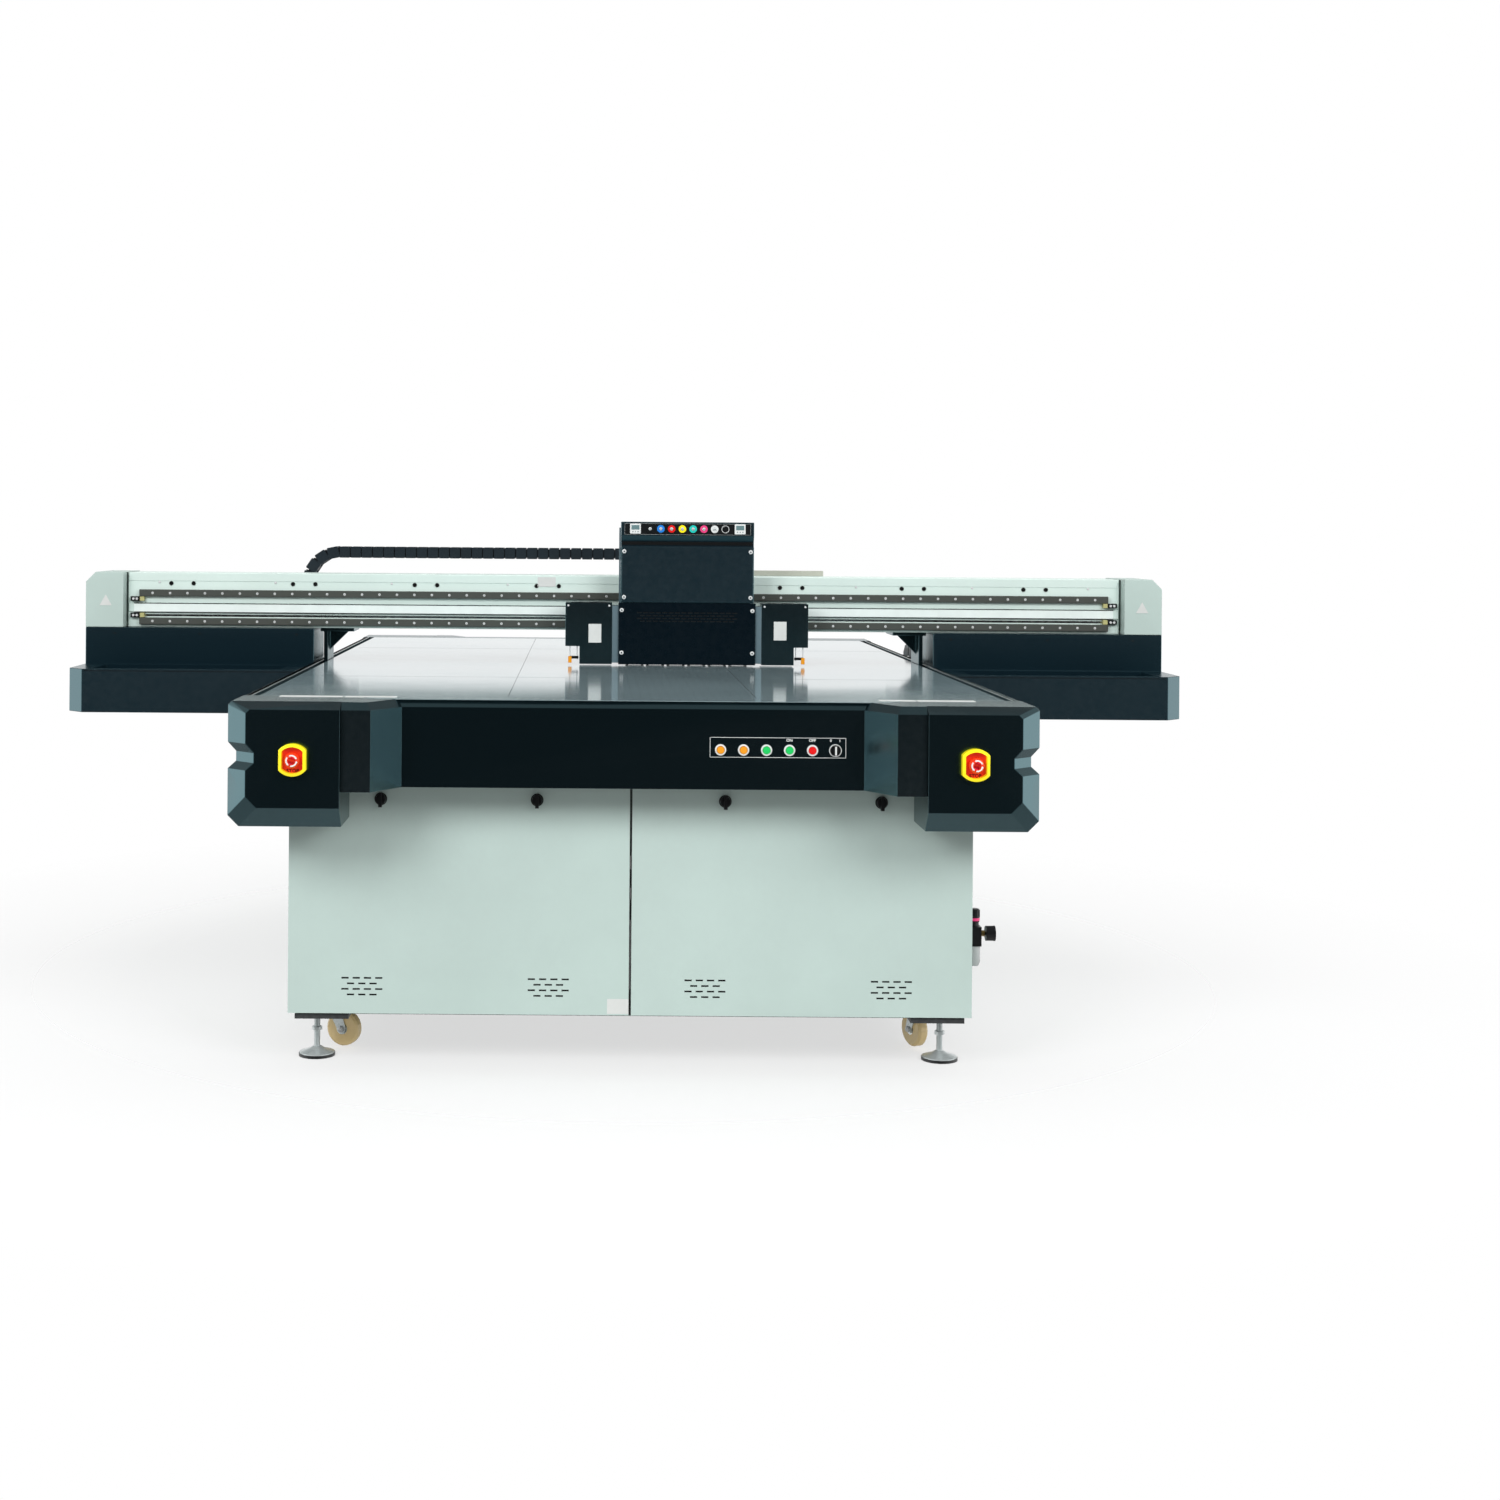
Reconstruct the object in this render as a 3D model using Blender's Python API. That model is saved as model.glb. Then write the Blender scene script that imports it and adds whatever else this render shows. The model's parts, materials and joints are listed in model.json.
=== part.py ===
"""Flatbed UV printer: a vacuum table on a panelled base, with a gantry that travels along the table.

The frame is in metres with +Z up. The origin is on the floor under the middle of the table, +X runs along
the gantry beam and -Y is the operator's side, where the buttons are.
"""

import math

import bmesh
import bpy
from mathutils import Matrix, Vector

# Clearances
SEAM = 0.0003  # between faces that rest on each other
PANEL_SEAM = 0.001  # between neighbouring cover panels
SHAFT_FIT = 0.0004  # round a shaft in its hole
SHEET = 0.003  # folded steel sheet

# Vacuum table
TABLE_WIDTH = 2.036
TABLE_LENGTH = 3.05
TABLE_TOP = 1.033
TABLE_THICKNESS = 0.048
TABLE_X = TABLE_WIDTH / 2
TABLE_Y = TABLE_LENGTH / 2
TABLE_UNDERSIDE = TABLE_TOP - TABLE_THICKNESS
TABLE_SKIN = 0.014
POCKETS_ACROSS = 5
POCKETS_ALONG = 8
RIB = 0.016

# Side beams, which carry the guide rails of the gantry outside the table
LEG_SLOT = 0.020
BEAM_WALL = 0.017
SIDE_X = TABLE_X + LEG_SLOT + BEAM_WALL
SIDE_BOTTOM = 0.800
SIDE_WEB = 0.015

# Base frame and cabinet
FRAME_TOP = 0.860
FRAME_TUBE = 0.060
WHEEL_RADIUS = 0.050
WHEEL_LIFT = 0.006
CASTER_HEADROOM = 0.029
PLATE_BOTTOM = WHEEL_LIFT + 2 * WHEEL_RADIUS + CASTER_HEADROOM
PLATE_THICKNESS = 0.012
CABINET_X = TABLE_X - 0.075
CABINET_Y = TABLE_Y - 0.060
PANEL_LIFT = 0.018
CABINET_BOTTOM = PLATE_BOTTOM + PANEL_LIFT
PANEL_DEPTH = 0.020
FRONT_PANEL_TOP = 0.790
SIDE_PANEL_TOP = 0.855
FRAME_X = CABINET_X - PANEL_DEPTH - SEAM
FRAME_Y = CABINET_Y - PANEL_DEPTH - SEAM
PLATE_TOP = PLATE_BOTTOM + PLATE_THICKNESS
CHAMBER_X = FRAME_X - FRAME_TUBE - 0.010

# Covers at the ends of the table
FASCIA_Y = TABLE_Y + 0.105
COVER_Y = TABLE_Y + 0.240
COVER_X = SIDE_X + 0.016
COVER_INNER_X = COVER_X - 0.301
WING_X = COVER_INNER_X - 0.079
FASCIA_X = COVER_INNER_X - 0.150
COVER_BOTTOM = 0.702
TOP_BEVEL = 0.020

# Controls on the front covers
BUTTON_COUNT = 5
BUTTON_PITCH = 0.0615
FIRST_BUTTON_X = 0.2343
BUTTON_Z = 0.905
BUTTON_TRAVEL = 0.003
STOP_X = COVER_X - 0.180
STOP_Z = 0.885
STOP_TRAVEL = 0.004

# Levelling feet and casters
FOOT_X = CABINET_X - 0.063
FOOT_Y = TABLE_Y - 0.210
FOOT_PAD_RADIUS = 0.050
STEM_RADIUS = 0.008
CASTER_X = FOOT_X - 0.036
CASTER_Y = FOOT_Y - 0.105
WHEEL_WIDTH = 0.032
CASTER_TRAIL = 0.032
AXLE_RADIUS = 0.005
AXLE_Z = WHEEL_LIFT + WHEEL_RADIUS

# Gantry
BEAM_FRONT = -0.025
BEAM_DEPTH = 0.200
BEAM_BOTTOM = TABLE_TOP + 0.112
BEAM_HEIGHT = 0.187
BEAM_TOP = BEAM_BOTTOM + BEAM_HEIGHT
BEAM_BACK = BEAM_FRONT + BEAM_DEPTH
GANTRY_X = SIDE_X + 0.787
END_COVER_WIDTH = 0.128
BEAM_X = GANTRY_X - END_COVER_WIDTH - 0.006
END_COVER_FRONT = BEAM_FRONT - 0.050
STATION_FRONT = BEAM_FRONT - 0.320
STATION_BACK = BEAM_BACK + 0.015
STATION_TOP = TABLE_TOP - 0.013
STATION_BOTTOM = STATION_TOP - 0.143
SKIRT_X = SIDE_X + 0.005
STATION_X = SIDE_X + 0.030
STATION_CHAMFER = 0.052

# Linear guide rails
RAIL_WIDTH = 0.023
RAIL_PROUD = 0.020
RAIL_X = BEAM_X - 0.042
UPPER_RAIL_Z = BEAM_BOTTOM + 0.117
LOWER_RAIL_Z = BEAM_BOTTOM + 0.0205
Y_RAIL_X = TABLE_X - 0.053
Y_RAIL_LENGTH = TABLE_LENGTH - 0.050

# Print head and its slide
HEAD_X = 0.2115
HEAD_FRONT = BEAM_FRONT - 0.150
HEAD_BACK = BEAM_FRONT - 0.061
HEAD_BOTTOM = TABLE_TOP + 0.003
HOOD_WIDTH = 0.449
APRON_WIDTH = 0.463
HOOD_TOP = TABLE_TOP + 0.486
HOOD_BOTTOM = TABLE_TOP + 0.2135
LAMP_INNER = APRON_WIDTH / 2 + 0.021
LAMP_WIDTH = 0.158
SLIDE_PLATE = 0.012
SLIDE_BACK = BEAM_FRONT - 0.033

# Cable chains
CHAIN_HEIGHT = 0.041
X_CHAIN_TOP = BEAM_TOP + 0.093
X_CHAIN_RADIUS = 0.130
X_CHAIN_BEND = -1.138
X_CHAIN_Y = (BEAM_BACK + 0.020, BEAM_BACK + 0.100)
X_CHAIN_FIXED = 0.700
Y_CHAIN_TOP = TABLE_TOP + 0.034
Y_CHAIN_RADIUS = 0.130
Y_CHAIN_BEND = 0.775
Y_CHAIN_X = (SIDE_X + 0.023, SIDE_X + 0.083)
Y_CHAIN_FIXED = -0.025

# Facets
ROUND = 24
SMALL_ROUND = 16


def finish(name, colour, roughness=0.5, metallic=0.0):
    """A Principled material."""
    made = bpy.data.materials.get(name) or bpy.data.materials.new(name)
    made.use_nodes = True
    shader = made.node_tree.nodes["Principled BSDF"]
    shader.inputs["Base Color"].default_value = (*colour, 1)
    shader.inputs["Roughness"].default_value = roughness
    shader.inputs["Metallic"].default_value = metallic
    return made


GREY_PAINT = ("grey_paint", (0.62, 0.64, 0.60), 0.45)
BLACK_PAINT = ("black_paint", (0.018, 0.02, 0.024), 0.4)
ALUMINIUM = ("aluminium", (0.55, 0.57, 0.58), 0.3, 1.0)
STEEL = ("steel", (0.45, 0.46, 0.47), 0.35, 1.0)
DARK_STEEL = ("dark_steel", (0.12, 0.12, 0.12), 0.4, 1.0)
BLACK_PLASTIC = ("black_plastic", (0.02, 0.02, 0.02), 0.5)
NYLON = ("nylon", (0.80, 0.62, 0.36), 0.4)
RED_PLASTIC = ("red_plastic", (0.75, 0.03, 0.03), 0.35)
GREEN_PLASTIC = ("green_plastic", (0.08, 0.55, 0.20), 0.35)
AMBER_PLASTIC = ("amber_plastic", (0.90, 0.40, 0.04), 0.35)


def solid(name, points, faces, look=None):
    """An object from points and faces, with its faces pointing out."""
    mesh = bpy.data.meshes.new(name)
    mesh.from_pydata([tuple(p) for p in points], [], faces)
    shape = bmesh.new()
    shape.from_mesh(mesh)
    bmesh.ops.recalc_face_normals(shape, faces=shape.faces)
    shape.to_mesh(mesh)
    shape.free()
    made = bpy.data.objects.new(name, mesh)
    bpy.context.scene.collection.objects.link(made)
    if look:
        mesh.materials.append(finish(*look))
    return made


def loft(name, rings, look=None):
    """A closed solid through rings of points that have the same count, with flat ends."""
    count = len(rings[0])
    points = [p for ring in rings for p in ring]
    faces = [list(range(count)), list(range(len(points) - count, len(points)))]
    for first in range(0, len(points) - count, count):
        for i in range(count):
            j = (i + 1) % count
            faces.append([first + i, first + j, first + count + j, first + count + i])
    return solid(name, points, faces, look)


def prism(name, outline, axis, span, look=None):
    """The outline extruded along an axis. Its points give the two other coordinates in X, Y, Z order."""
    rings = []
    for place in span:
        ring = []
        for a, b in outline:
            ring.append({"x": (place, a, b), "y": (a, place, b), "z": (a, b, place)}[axis])
        rings.append(ring)
    return loft(name, rings, look)


def block(name, x, y, z, look=None):
    """A box between pairs of limits."""
    return prism(name, [(x[0], y[0]), (x[1], y[0]), (x[1], y[1]), (x[0], y[1])], "z", z, look)


def turned(name, profile, centre, axis, look=None, steps=ROUND):
    """A round solid from (radius, height) pairs, with its heights along the axis from the centre."""
    turn = {"x": Matrix.Rotation(math.pi / 2, 4, "Y"), "y": Matrix.Rotation(-math.pi / 2, 4, "X")}
    to_axis = turn.get(axis, Matrix())
    rings = []
    for radius, height in profile:
        angles = [2 * math.pi * i / steps for i in range(steps)]
        ring = [Vector((radius * math.cos(a), radius * math.sin(a), height)) for a in angles]
        rings.append([to_axis @ p + Vector(centre) for p in ring])
    made = loft(name, rings, look)
    made.data.shade_smooth()
    made.data.set_sharp_from_angle(angle=math.radians(35))
    return made


def combined(target, helpers, operation):
    """The target after a Boolean with each helper in turn. The helpers go."""
    for helper in helpers:
        modifier = target.modifiers.new("shape", "BOOLEAN")
        modifier.operation = operation
        modifier.object = helper
        modifier.solver = "EXACT"
    graph = bpy.context.evaluated_depsgraph_get()
    result = bpy.data.meshes.new_from_object(target.evaluated_get(graph))
    target.modifiers.clear()
    target.data = result
    for helper in helpers:
        bpy.data.objects.remove(helper)
    return target


def cut(target, *helpers):
    """The target with the helpers taken out of it."""
    return combined(target, helpers, "DIFFERENCE")


def join(target, *helpers):
    """The target and the helpers as one solid."""
    return combined(target, helpers, "UNION")


def mirrored(shape, name):
    """A copy of a shape on the other side of the X = 0 plane."""
    mesh = shape.data.copy()
    mesh.transform(Matrix.Scale(-1, 4, (1, 0, 0)))
    mesh.flip_normals()
    made = bpy.data.objects.new(name, mesh)
    bpy.context.scene.collection.objects.link(made)
    return made


def pivot(name, place, parent=None):
    """An empty on a joint's axis."""
    made = bpy.data.objects.new(name, None)
    made.location = Vector(place) - (parent.matrix_world.translation if parent else Vector())
    made.parent = parent
    bpy.context.scene.collection.objects.link(made)
    bpy.context.view_layer.update()
    return made


def hang(parent, *pieces):
    """Pieces that move with a pivot, left where they are."""
    for piece in pieces:
        piece.parent = parent
        piece.matrix_parent_inverse = parent.matrix_world.inverted()


def spread(*limits):
    """Both sides of X = 0 or Y = 0, as (sign, name)."""
    return [(-1, limits[0]), (1, limits[1])]


# Base


def base_frame():
    """The welded tube frame, with a plate at each corner for a foot and a caster."""
    top = (FRAME_TOP - FRAME_TUBE, FRAME_TOP)
    low = (PLATE_TOP, PLATE_TOP + FRAME_TUBE)
    tube_x = (FRAME_X - FRAME_TUBE, FRAME_X)
    crossings = [-FRAME_Y, -FRAME_TUBE / 2, 0.62, FRAME_Y - FRAME_TUBE]
    frame = block("base_frame", tube_x, (-FRAME_Y, FRAME_Y), low, DARK_STEEL)
    pieces = [block("tube", (-tube_x[1], -tube_x[0]), (-FRAME_Y, FRAME_Y), low)]
    for sign in (-1, 1):
        across = tuple(sorted((sign * tube_x[0], sign * tube_x[1])))
        pieces.append(block("tube", across, (-FRAME_Y, FRAME_Y), top))
        for y in (crossings[0], crossings[1], crossings[3]):
            pieces.append(block("post", across, (y, y + FRAME_TUBE), (low[0] + 0.01, top[1] - 0.01)))
    for y in crossings:
        pieces.append(block("cross", (-tube_x[0] - 0.02, tube_x[0] + 0.02), (y, y + FRAME_TUBE), low))
        pieces.append(block("cross", (-tube_x[0] - 0.02, tube_x[0] + 0.02), (y, y + FRAME_TUBE), top))
    for x_sign in (-1, 1):
        for y_sign in (-1, 1):
            pieces.append(corner_plate(x_sign, y_sign))
    frame = join(frame, *pieces)
    holes = []
    for x_sign in (-1, 1):
        for y_sign in (-1, 1):
            stem = [(STEM_RADIUS + SHAFT_FIT, PLATE_BOTTOM - 0.01), (STEM_RADIUS + SHAFT_FIT, low[1] + 0.01)]
            holes.append(turned("hole", stem, (x_sign * FOOT_X, y_sign * FOOT_Y, 0), "z", steps=SMALL_ROUND))
            king = [(0.007 + SHAFT_FIT, PLATE_BOTTOM - 0.02), (0.007 + SHAFT_FIT, PLATE_TOP - 0.002)]
            holes.append(turned("hole", king, (x_sign * CASTER_X, y_sign * CASTER_Y, 0), "z", steps=SMALL_ROUND))
    return cut(frame, *holes)


def corner_plate(x_sign, y_sign):
    """The plate under one corner of the frame."""
    x = tuple(sorted((x_sign * (FOOT_X - 0.104), x_sign * (FOOT_X + 0.045))))
    y = tuple(sorted((y_sign * (FOOT_Y - 0.140), y_sign * (CABINET_Y - 0.010))))
    return block("plate", x, y, (PLATE_BOTTOM, PLATE_TOP + 0.002))


def levelling_foot(name, x, y):
    """A threaded stem on a round pad, with its lock nut under the corner plate."""
    profile = [
        (FOOT_PAD_RADIUS - 0.002, 0),
        (FOOT_PAD_RADIUS, 0.003),
        (FOOT_PAD_RADIUS, 0.011),
        (0.022, 0.020),
        (0.013, 0.026),
        (STEM_RADIUS, 0.027),
        (STEM_RADIUS, 0.180),
    ]
    foot = turned(name, profile, (x, y, 0), "z", STEEL, SMALL_ROUND)
    nuts = []
    for bottom in (0.072, PLATE_BOTTOM - SEAM - 0.010):
        nuts.append(turned("nut", [(0.0145, bottom), (0.0145, bottom + 0.010)], (x, y, 0), "z", steps=6))
    return join(foot, *nuts)


def caster(name, x, y, angle):
    """A fork on a kingpin, its wheel and the pivots of both. The wheel trails towards the angle."""
    swivel = pivot(f"{name}_swivel", (x, y, PLATE_BOTTOM))
    head = [(0.026, -0.014), (0.028, -0.012), (0.028, -SEAM), (0.007, -SEAM), (0.007, PLATE_THICKNESS - 0.004)]
    fork = turned(f"{name}_fork", head, (0, 0, PLATE_BOTTOM), "z", STEEL, SMALL_ROUND)
    side = WHEEL_WIDTH / 2 + 0.002
    leg = [
        (-0.022, PLATE_BOTTOM - 0.006),
        (0.024, PLATE_BOTTOM - 0.006),
        (CASTER_TRAIL + 0.014, AXLE_Z + 0.004),
        (CASTER_TRAIL + 0.010, AXLE_Z - 0.010),
        (CASTER_TRAIL - 0.010, AXLE_Z - 0.010),
        (CASTER_TRAIL - 0.015, AXLE_Z + 0.004),
    ]
    crown = block("crown", (-0.022, 0.024), (-side - 0.004, side + 0.004), (PLATE_BOTTOM - 0.013, PLATE_BOTTOM - 0.006))
    legs = [prism("leg", leg, "y", sorted((s * side, s * (side + 0.004)))) for s in (-1, 1)]
    pin = turned("pin", [(AXLE_RADIUS, -side - 0.006), (AXLE_RADIUS, side + 0.006)], (CASTER_TRAIL, 0, AXLE_Z), "y",
                 steps=SMALL_ROUND)
    join(fork, crown, *legs, pin)
    half = WHEEL_WIDTH / 2
    tread = [
        (AXLE_RADIUS + SHAFT_FIT, -half),
        (WHEEL_RADIUS - 0.006, -half),
        (WHEEL_RADIUS, -half + 0.006),
        (WHEEL_RADIUS, half - 0.006),
        (WHEEL_RADIUS - 0.006, half),
        (AXLE_RADIUS + SHAFT_FIT, half),
    ]
    wheel = turned(f"{name}_wheel", tread[1:5], (CASTER_TRAIL, 0, AXLE_Z), "y", NYLON)
    bore = turned("bore", [(tread[0][0], -half - 0.01), (tread[0][0], half + 0.01)], (CASTER_TRAIL, 0, AXLE_Z), "y",
                  steps=SMALL_ROUND)
    cut(wheel, bore)
    turn = Matrix.Translation((x, y, 0)) @ Matrix.Rotation(angle, 4, "Z")
    for piece in (fork, wheel):
        piece.data.transform(turn)
    axle = pivot(f"{name}_axle", turn @ Vector((CASTER_TRAIL, 0, AXLE_Z)), swivel)
    hang(swivel, fork)
    hang(axle, wheel)


def vent_slots(centre_x, top, face):
    """Cutters for one staggered group of vent slots in a front panel."""
    pitch, row_pitch, length, height = 0.031, 0.0153, 0.020, 0.0047
    slots = []
    for row, count in enumerate((4, 3, 4, 3)):
        for i in range(count):
            x = centre_x + (i - (count - 1) / 2) * pitch
            z = top - row * row_pitch
            slots.append(block("slot", (x - length / 2, x + length / 2), (face - 0.01, face + 0.01),
                               (z - height / 2, z + height / 2)))
    return slots


def front_panel(name, sign):
    """One of the two front panels, a folded pan with vents, its two latches and the pivot along its foot."""
    x = tuple(sorted((sign * PANEL_SEAM / 2, sign * CABINET_X)))
    face = -CABINET_Y
    panel = block(name, x, (face, face + PANEL_DEPTH), (CABINET_BOTTOM, FRONT_PANEL_TOP), GREY_PAINT)
    inside = block("inside", (x[0] + SHEET, x[1] - SHEET), (face + SHEET, face + PANEL_DEPTH + 0.01),
                   (CABINET_BOTTOM + SHEET, FRONT_PANEL_TOP - SHEET))
    cut(panel, inside)
    cutters = []
    for share in (0.229, 0.774):
        cutters += vent_slots(sign * share * CABINET_X - 0.009, CABINET_BOTTOM + 0.098, face)
    latches = [sign * share * CABINET_X for share in (0.275, 0.732)]
    latch_z = FRONT_PANEL_TOP - 0.045
    for latch_x in latches:
        bore = [(0.004 + SHAFT_FIT, -0.01), (0.004 + SHAFT_FIT, 0.01)]
        cutters.append(turned("hole", bore, (latch_x, face, latch_z), "y", steps=SMALL_ROUND))
    cut(panel, *cutters)
    foot = pivot(f"{name}_foot", (0, face + PANEL_DEPTH, CABINET_BOTTOM))
    hang(foot, panel)
    for number, latch_x in enumerate(latches, 1):
        turn = pivot(f"{name}_latch_{number}_turn", (latch_x, face, latch_z), foot)
        hang(turn, wing_latch(f"{name}_latch_{number}", latch_x, face, latch_z))


def wing_latch(name, x, face, z):
    """A quarter-turn latch: a wing knob in front of the panel and a cam behind it."""
    knob = turned(name, [(0.013, -0.016), (0.014, -0.014), (0.014, -SEAM)], (x, face, z), "y", BLACK_PLASTIC,
                  SMALL_ROUND)
    shaft = turned("shaft", [(0.004, -0.005), (0.004, SHEET + 0.006)], (x, face, z), "y", steps=SMALL_ROUND)
    wing = prism("wing", [(x - 0.005, z - 0.020), (x + 0.005, z - 0.020), (x + 0.0035, z + 0.020), (x - 0.0035, z + 0.020)],
                 "y", (face - 0.026, face - 0.012))
    cam_front = face + SHEET + SEAM
    cam = block("cam", (x - 0.007, x + 0.007), (cam_front, cam_front + 0.004), (z - 0.008, z + 0.026))
    return join(knob, shaft, wing, cam)


def side_panel(name, sign):
    """A folded side panel of the cabinet."""
    outer, inner = sign * CABINET_X, sign * (CABINET_X - PANEL_DEPTH)
    length = CABINET_Y - PANEL_DEPTH - PANEL_SEAM
    panel = block(name, sorted((inner, outer)), (-length, length), (CABINET_BOTTOM, SIDE_PANEL_TOP), GREY_PAINT)
    hollow = block("inside", sorted((inner - sign * 0.01, outer - sign * SHEET)), (-length + SHEET, length - SHEET),
                   (CABINET_BOTTOM + SHEET, SIDE_PANEL_TOP - SHEET))
    return cut(panel, hollow)


def rear_panel():
    """The folded rear panel of the cabinet."""
    inner = CABINET_Y - PANEL_DEPTH
    panel = block("rear_panel", (-CABINET_X, CABINET_X), (inner, CABINET_Y), (CABINET_BOTTOM, FRONT_PANEL_TOP), GREY_PAINT)
    hollow = block("inside", (-CABINET_X + SHEET, CABINET_X - SHEET), (inner - 0.01, CABINET_Y - SHEET),
                   (CABINET_BOTTOM + SHEET, FRONT_PANEL_TOP - SHEET))
    return cut(panel, hollow)


def vacuum_blower():
    """The side-channel blower that draws the table down, on a base plate across the frame."""
    floor = PLATE_TOP + FRAME_TUBE + SEAM
    x, y, z = -0.45, 0.33, floor + 0.215
    blower = turned("vacuum_blower", [(0.17, -0.08), (0.185, -0.06), (0.185, 0.06), (0.17, 0.08)], (x, y, z), "y", DARK_STEEL)
    motor = turned("motor", [(0.11, 0.07), (0.11, 0.28), (0.09, 0.30)], (x, y, z), "y")
    base = block("base", (x - 0.19, x + 0.19), (-0.02, 0.67), (floor, floor + 0.014))
    stand = block("stand", (x - 0.12, x + 0.12), (y - 0.05, y + 0.24), (floor + 0.010, floor + 0.13))
    pipe = turned("pipe", [(0.032, 0.0), (0.032, 0.30)], (x + 0.13, y, z), "z", steps=SMALL_ROUND)
    return join(blower, motor, base, stand, pipe)


def control_cabinet():
    """The box of drives and electronics, across the same two tubes as the blower."""
    floor = PLATE_TOP + FRAME_TUBE + SEAM
    box = block("control_cabinet", (0.10, 0.75), (0.0, 0.66), (floor, floor + 0.42), GREY_PAINT)
    door = block("door", (0.12, 0.73), (-0.012, 0.01), (floor + 0.02, floor + 0.40))
    inside = block("inside", (0.103, 0.747), (0.013, 0.657), (floor + 0.003, floor + 0.417))
    gland = turned("gland", [(0.04, floor + 0.41), (0.04, floor + 0.43)], (0.60, 0.55, 0), "z", steps=SMALL_ROUND)
    return cut(join(box, door), inside, gland)


# Table


def table():
    """The flat vacuum table with the suction chamber under it."""
    plate = block("vacuum_table", (-TABLE_X, TABLE_X), (-TABLE_Y, TABLE_Y), (TABLE_UNDERSIDE, TABLE_TOP), ALUMINIUM)
    chamber = block("chamber", (-CHAMBER_X, CHAMBER_X), (-FRAME_Y, FRAME_Y), (FRAME_TOP + SEAM, TABLE_UNDERSIDE + 0.01))
    join(plate, chamber)
    return cut(plate, *table_pockets())


def table_pockets():
    """Cutters for the pockets under the table, which leave its skin and a grid of ribs."""
    pockets = []
    across, along = 2 * CHAMBER_X / POCKETS_ACROSS, 2 * FRAME_Y / POCKETS_ALONG
    for i in range(POCKETS_ACROSS):
        for j in range(POCKETS_ALONG):
            x, y = -CHAMBER_X + i * across, -FRAME_Y + j * along
            pockets.append(block("pocket", (x + RIB / 2, x + across - RIB / 2), (y + RIB / 2, y + along - RIB / 2),
                                 (FRAME_TOP - 0.01, TABLE_TOP - TABLE_SKIN)))
    return pockets


def side_beam(name, sign):
    """The long outer wall beside the gantry slot and the web that carries the guide rail."""
    web = (FRAME_TOP + SEAM, FRAME_TOP + SEAM + SIDE_WEB)
    inner = SIDE_X - BEAM_WALL
    outline = [
        (CHAMBER_X + 0.004, web[0]),
        (inner, web[0]),
        (inner, SIDE_BOTTOM),
        (SIDE_X, SIDE_BOTTOM),
        (SIDE_X, TABLE_TOP),
        (inner, TABLE_TOP),
        (inner, web[1]),
        (CHAMBER_X + 0.004, web[1]),
    ]
    beam = prism(name, [(sign * a, b) for a, b in outline], "y", (-TABLE_Y, TABLE_Y), BLACK_PAINT)
    if sign > 0:
        shelf_top = Y_CHAIN_TOP - 2 * Y_CHAIN_RADIUS - SEAM
        shelf = block("shelf", (SIDE_X - 0.005, Y_CHAIN_X[1] + 0.008), (Y_CHAIN_FIXED - 0.03, TABLE_Y),
                      (shelf_top - 0.004, shelf_top))
        lip = block("lip", (Y_CHAIN_X[1] + 0.004, Y_CHAIN_X[1] + 0.008), (Y_CHAIN_FIXED - 0.03, TABLE_Y),
                    (shelf_top - 0.004, shelf_top + 0.020))
        join(beam, shelf, lip)
    return beam


def y_rail(name, sign):
    """A guide rail of the gantry on a side beam's web."""
    seat = FRAME_TOP + SIDE_WEB + 2 * SEAM
    x = sorted((sign * (Y_RAIL_X - RAIL_WIDTH / 2), sign * (Y_RAIL_X + RAIL_WIDTH / 2)))
    return block(name, x, (-Y_RAIL_LENGTH / 2, Y_RAIL_LENGTH / 2), (seat, seat + RAIL_PROUD), STEEL)


def fascia_outline(back):
    """The fascia in plan: a straight middle and a wing at each end that steps forward."""
    step = COVER_Y - 0.015
    front = [(-COVER_INNER_X + PANEL_SEAM, -step), (-WING_X, -step), (-FASCIA_X, -FASCIA_Y)]
    front += [(-x, y) for x, y in reversed(front)]
    return front + [(COVER_INNER_X - PANEL_SEAM, back), (-COVER_INNER_X + PANEL_SEAM, back)]


def inset_plan(outline, by):
    """The fascia's plan drawn in by the sheet or the bevel."""
    shift = {0: (by, by), 1: (-by * 0.6, by), 2: (-by * 0.6, by), 3: (by * 0.6, by), 4: (by * 0.6, by), 5: (-by, by)}
    return [(x + shift.get(i, (0, 0))[0], y + shift.get(i, (0, 0))[1]) for i, (x, y) in enumerate(outline)]


def fascia_shell(name):
    """The folded cover across the front of the table, open towards the table and below."""
    back = -TABLE_Y - SEAM
    outline = fascia_outline(back)
    low, shoulder = SIDE_BOTTOM - 0.002, TABLE_TOP - TOP_BEVEL
    top = inset_plan(outline, TOP_BEVEL)
    top[0] = (outline[0][0], top[0][1])
    top[5] = (outline[5][0], top[5][1])
    rings = []
    for plan, z in ((outline, low), (outline, shoulder), (top, TABLE_TOP)):
        rings.append([(x, y, z) for x, y in plan])
    shell = loft(name, rings, BLACK_PAINT)
    inner = inset_plan(outline, SHEET)
    inner[6], inner[7] = (inner[5][0], back + 0.05), (inner[0][0], back + 0.05)
    deep = inset_plan(inner, TOP_BEVEL)
    deep[0], deep[5] = (inner[0][0], deep[0][1]), (inner[5][0], deep[5][1])
    hollow = []
    for plan, z in ((inner, low + SHEET), (inner, shoulder - SHEET), (deep, TABLE_TOP - SHEET)):
        hollow.append([(x, y, z) for x, y in plan])
    return cut(shell, loft("hollow", hollow))


def front_fascia():
    """The front fascia with the holes for its buttons and key switch."""
    shell = fascia_shell("front_fascia")
    holes = []
    for i in range(BUTTON_COUNT + 1):
        place = (FIRST_BUTTON_X + i * BUTTON_PITCH, -FASCIA_Y, BUTTON_Z)
        holes.append(turned("hole", [(0.008 + SHAFT_FIT, -0.01), (0.008 + SHAFT_FIT, 0.01)], place, "y", steps=SMALL_ROUND))
    return cut(shell, *holes)


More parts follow.
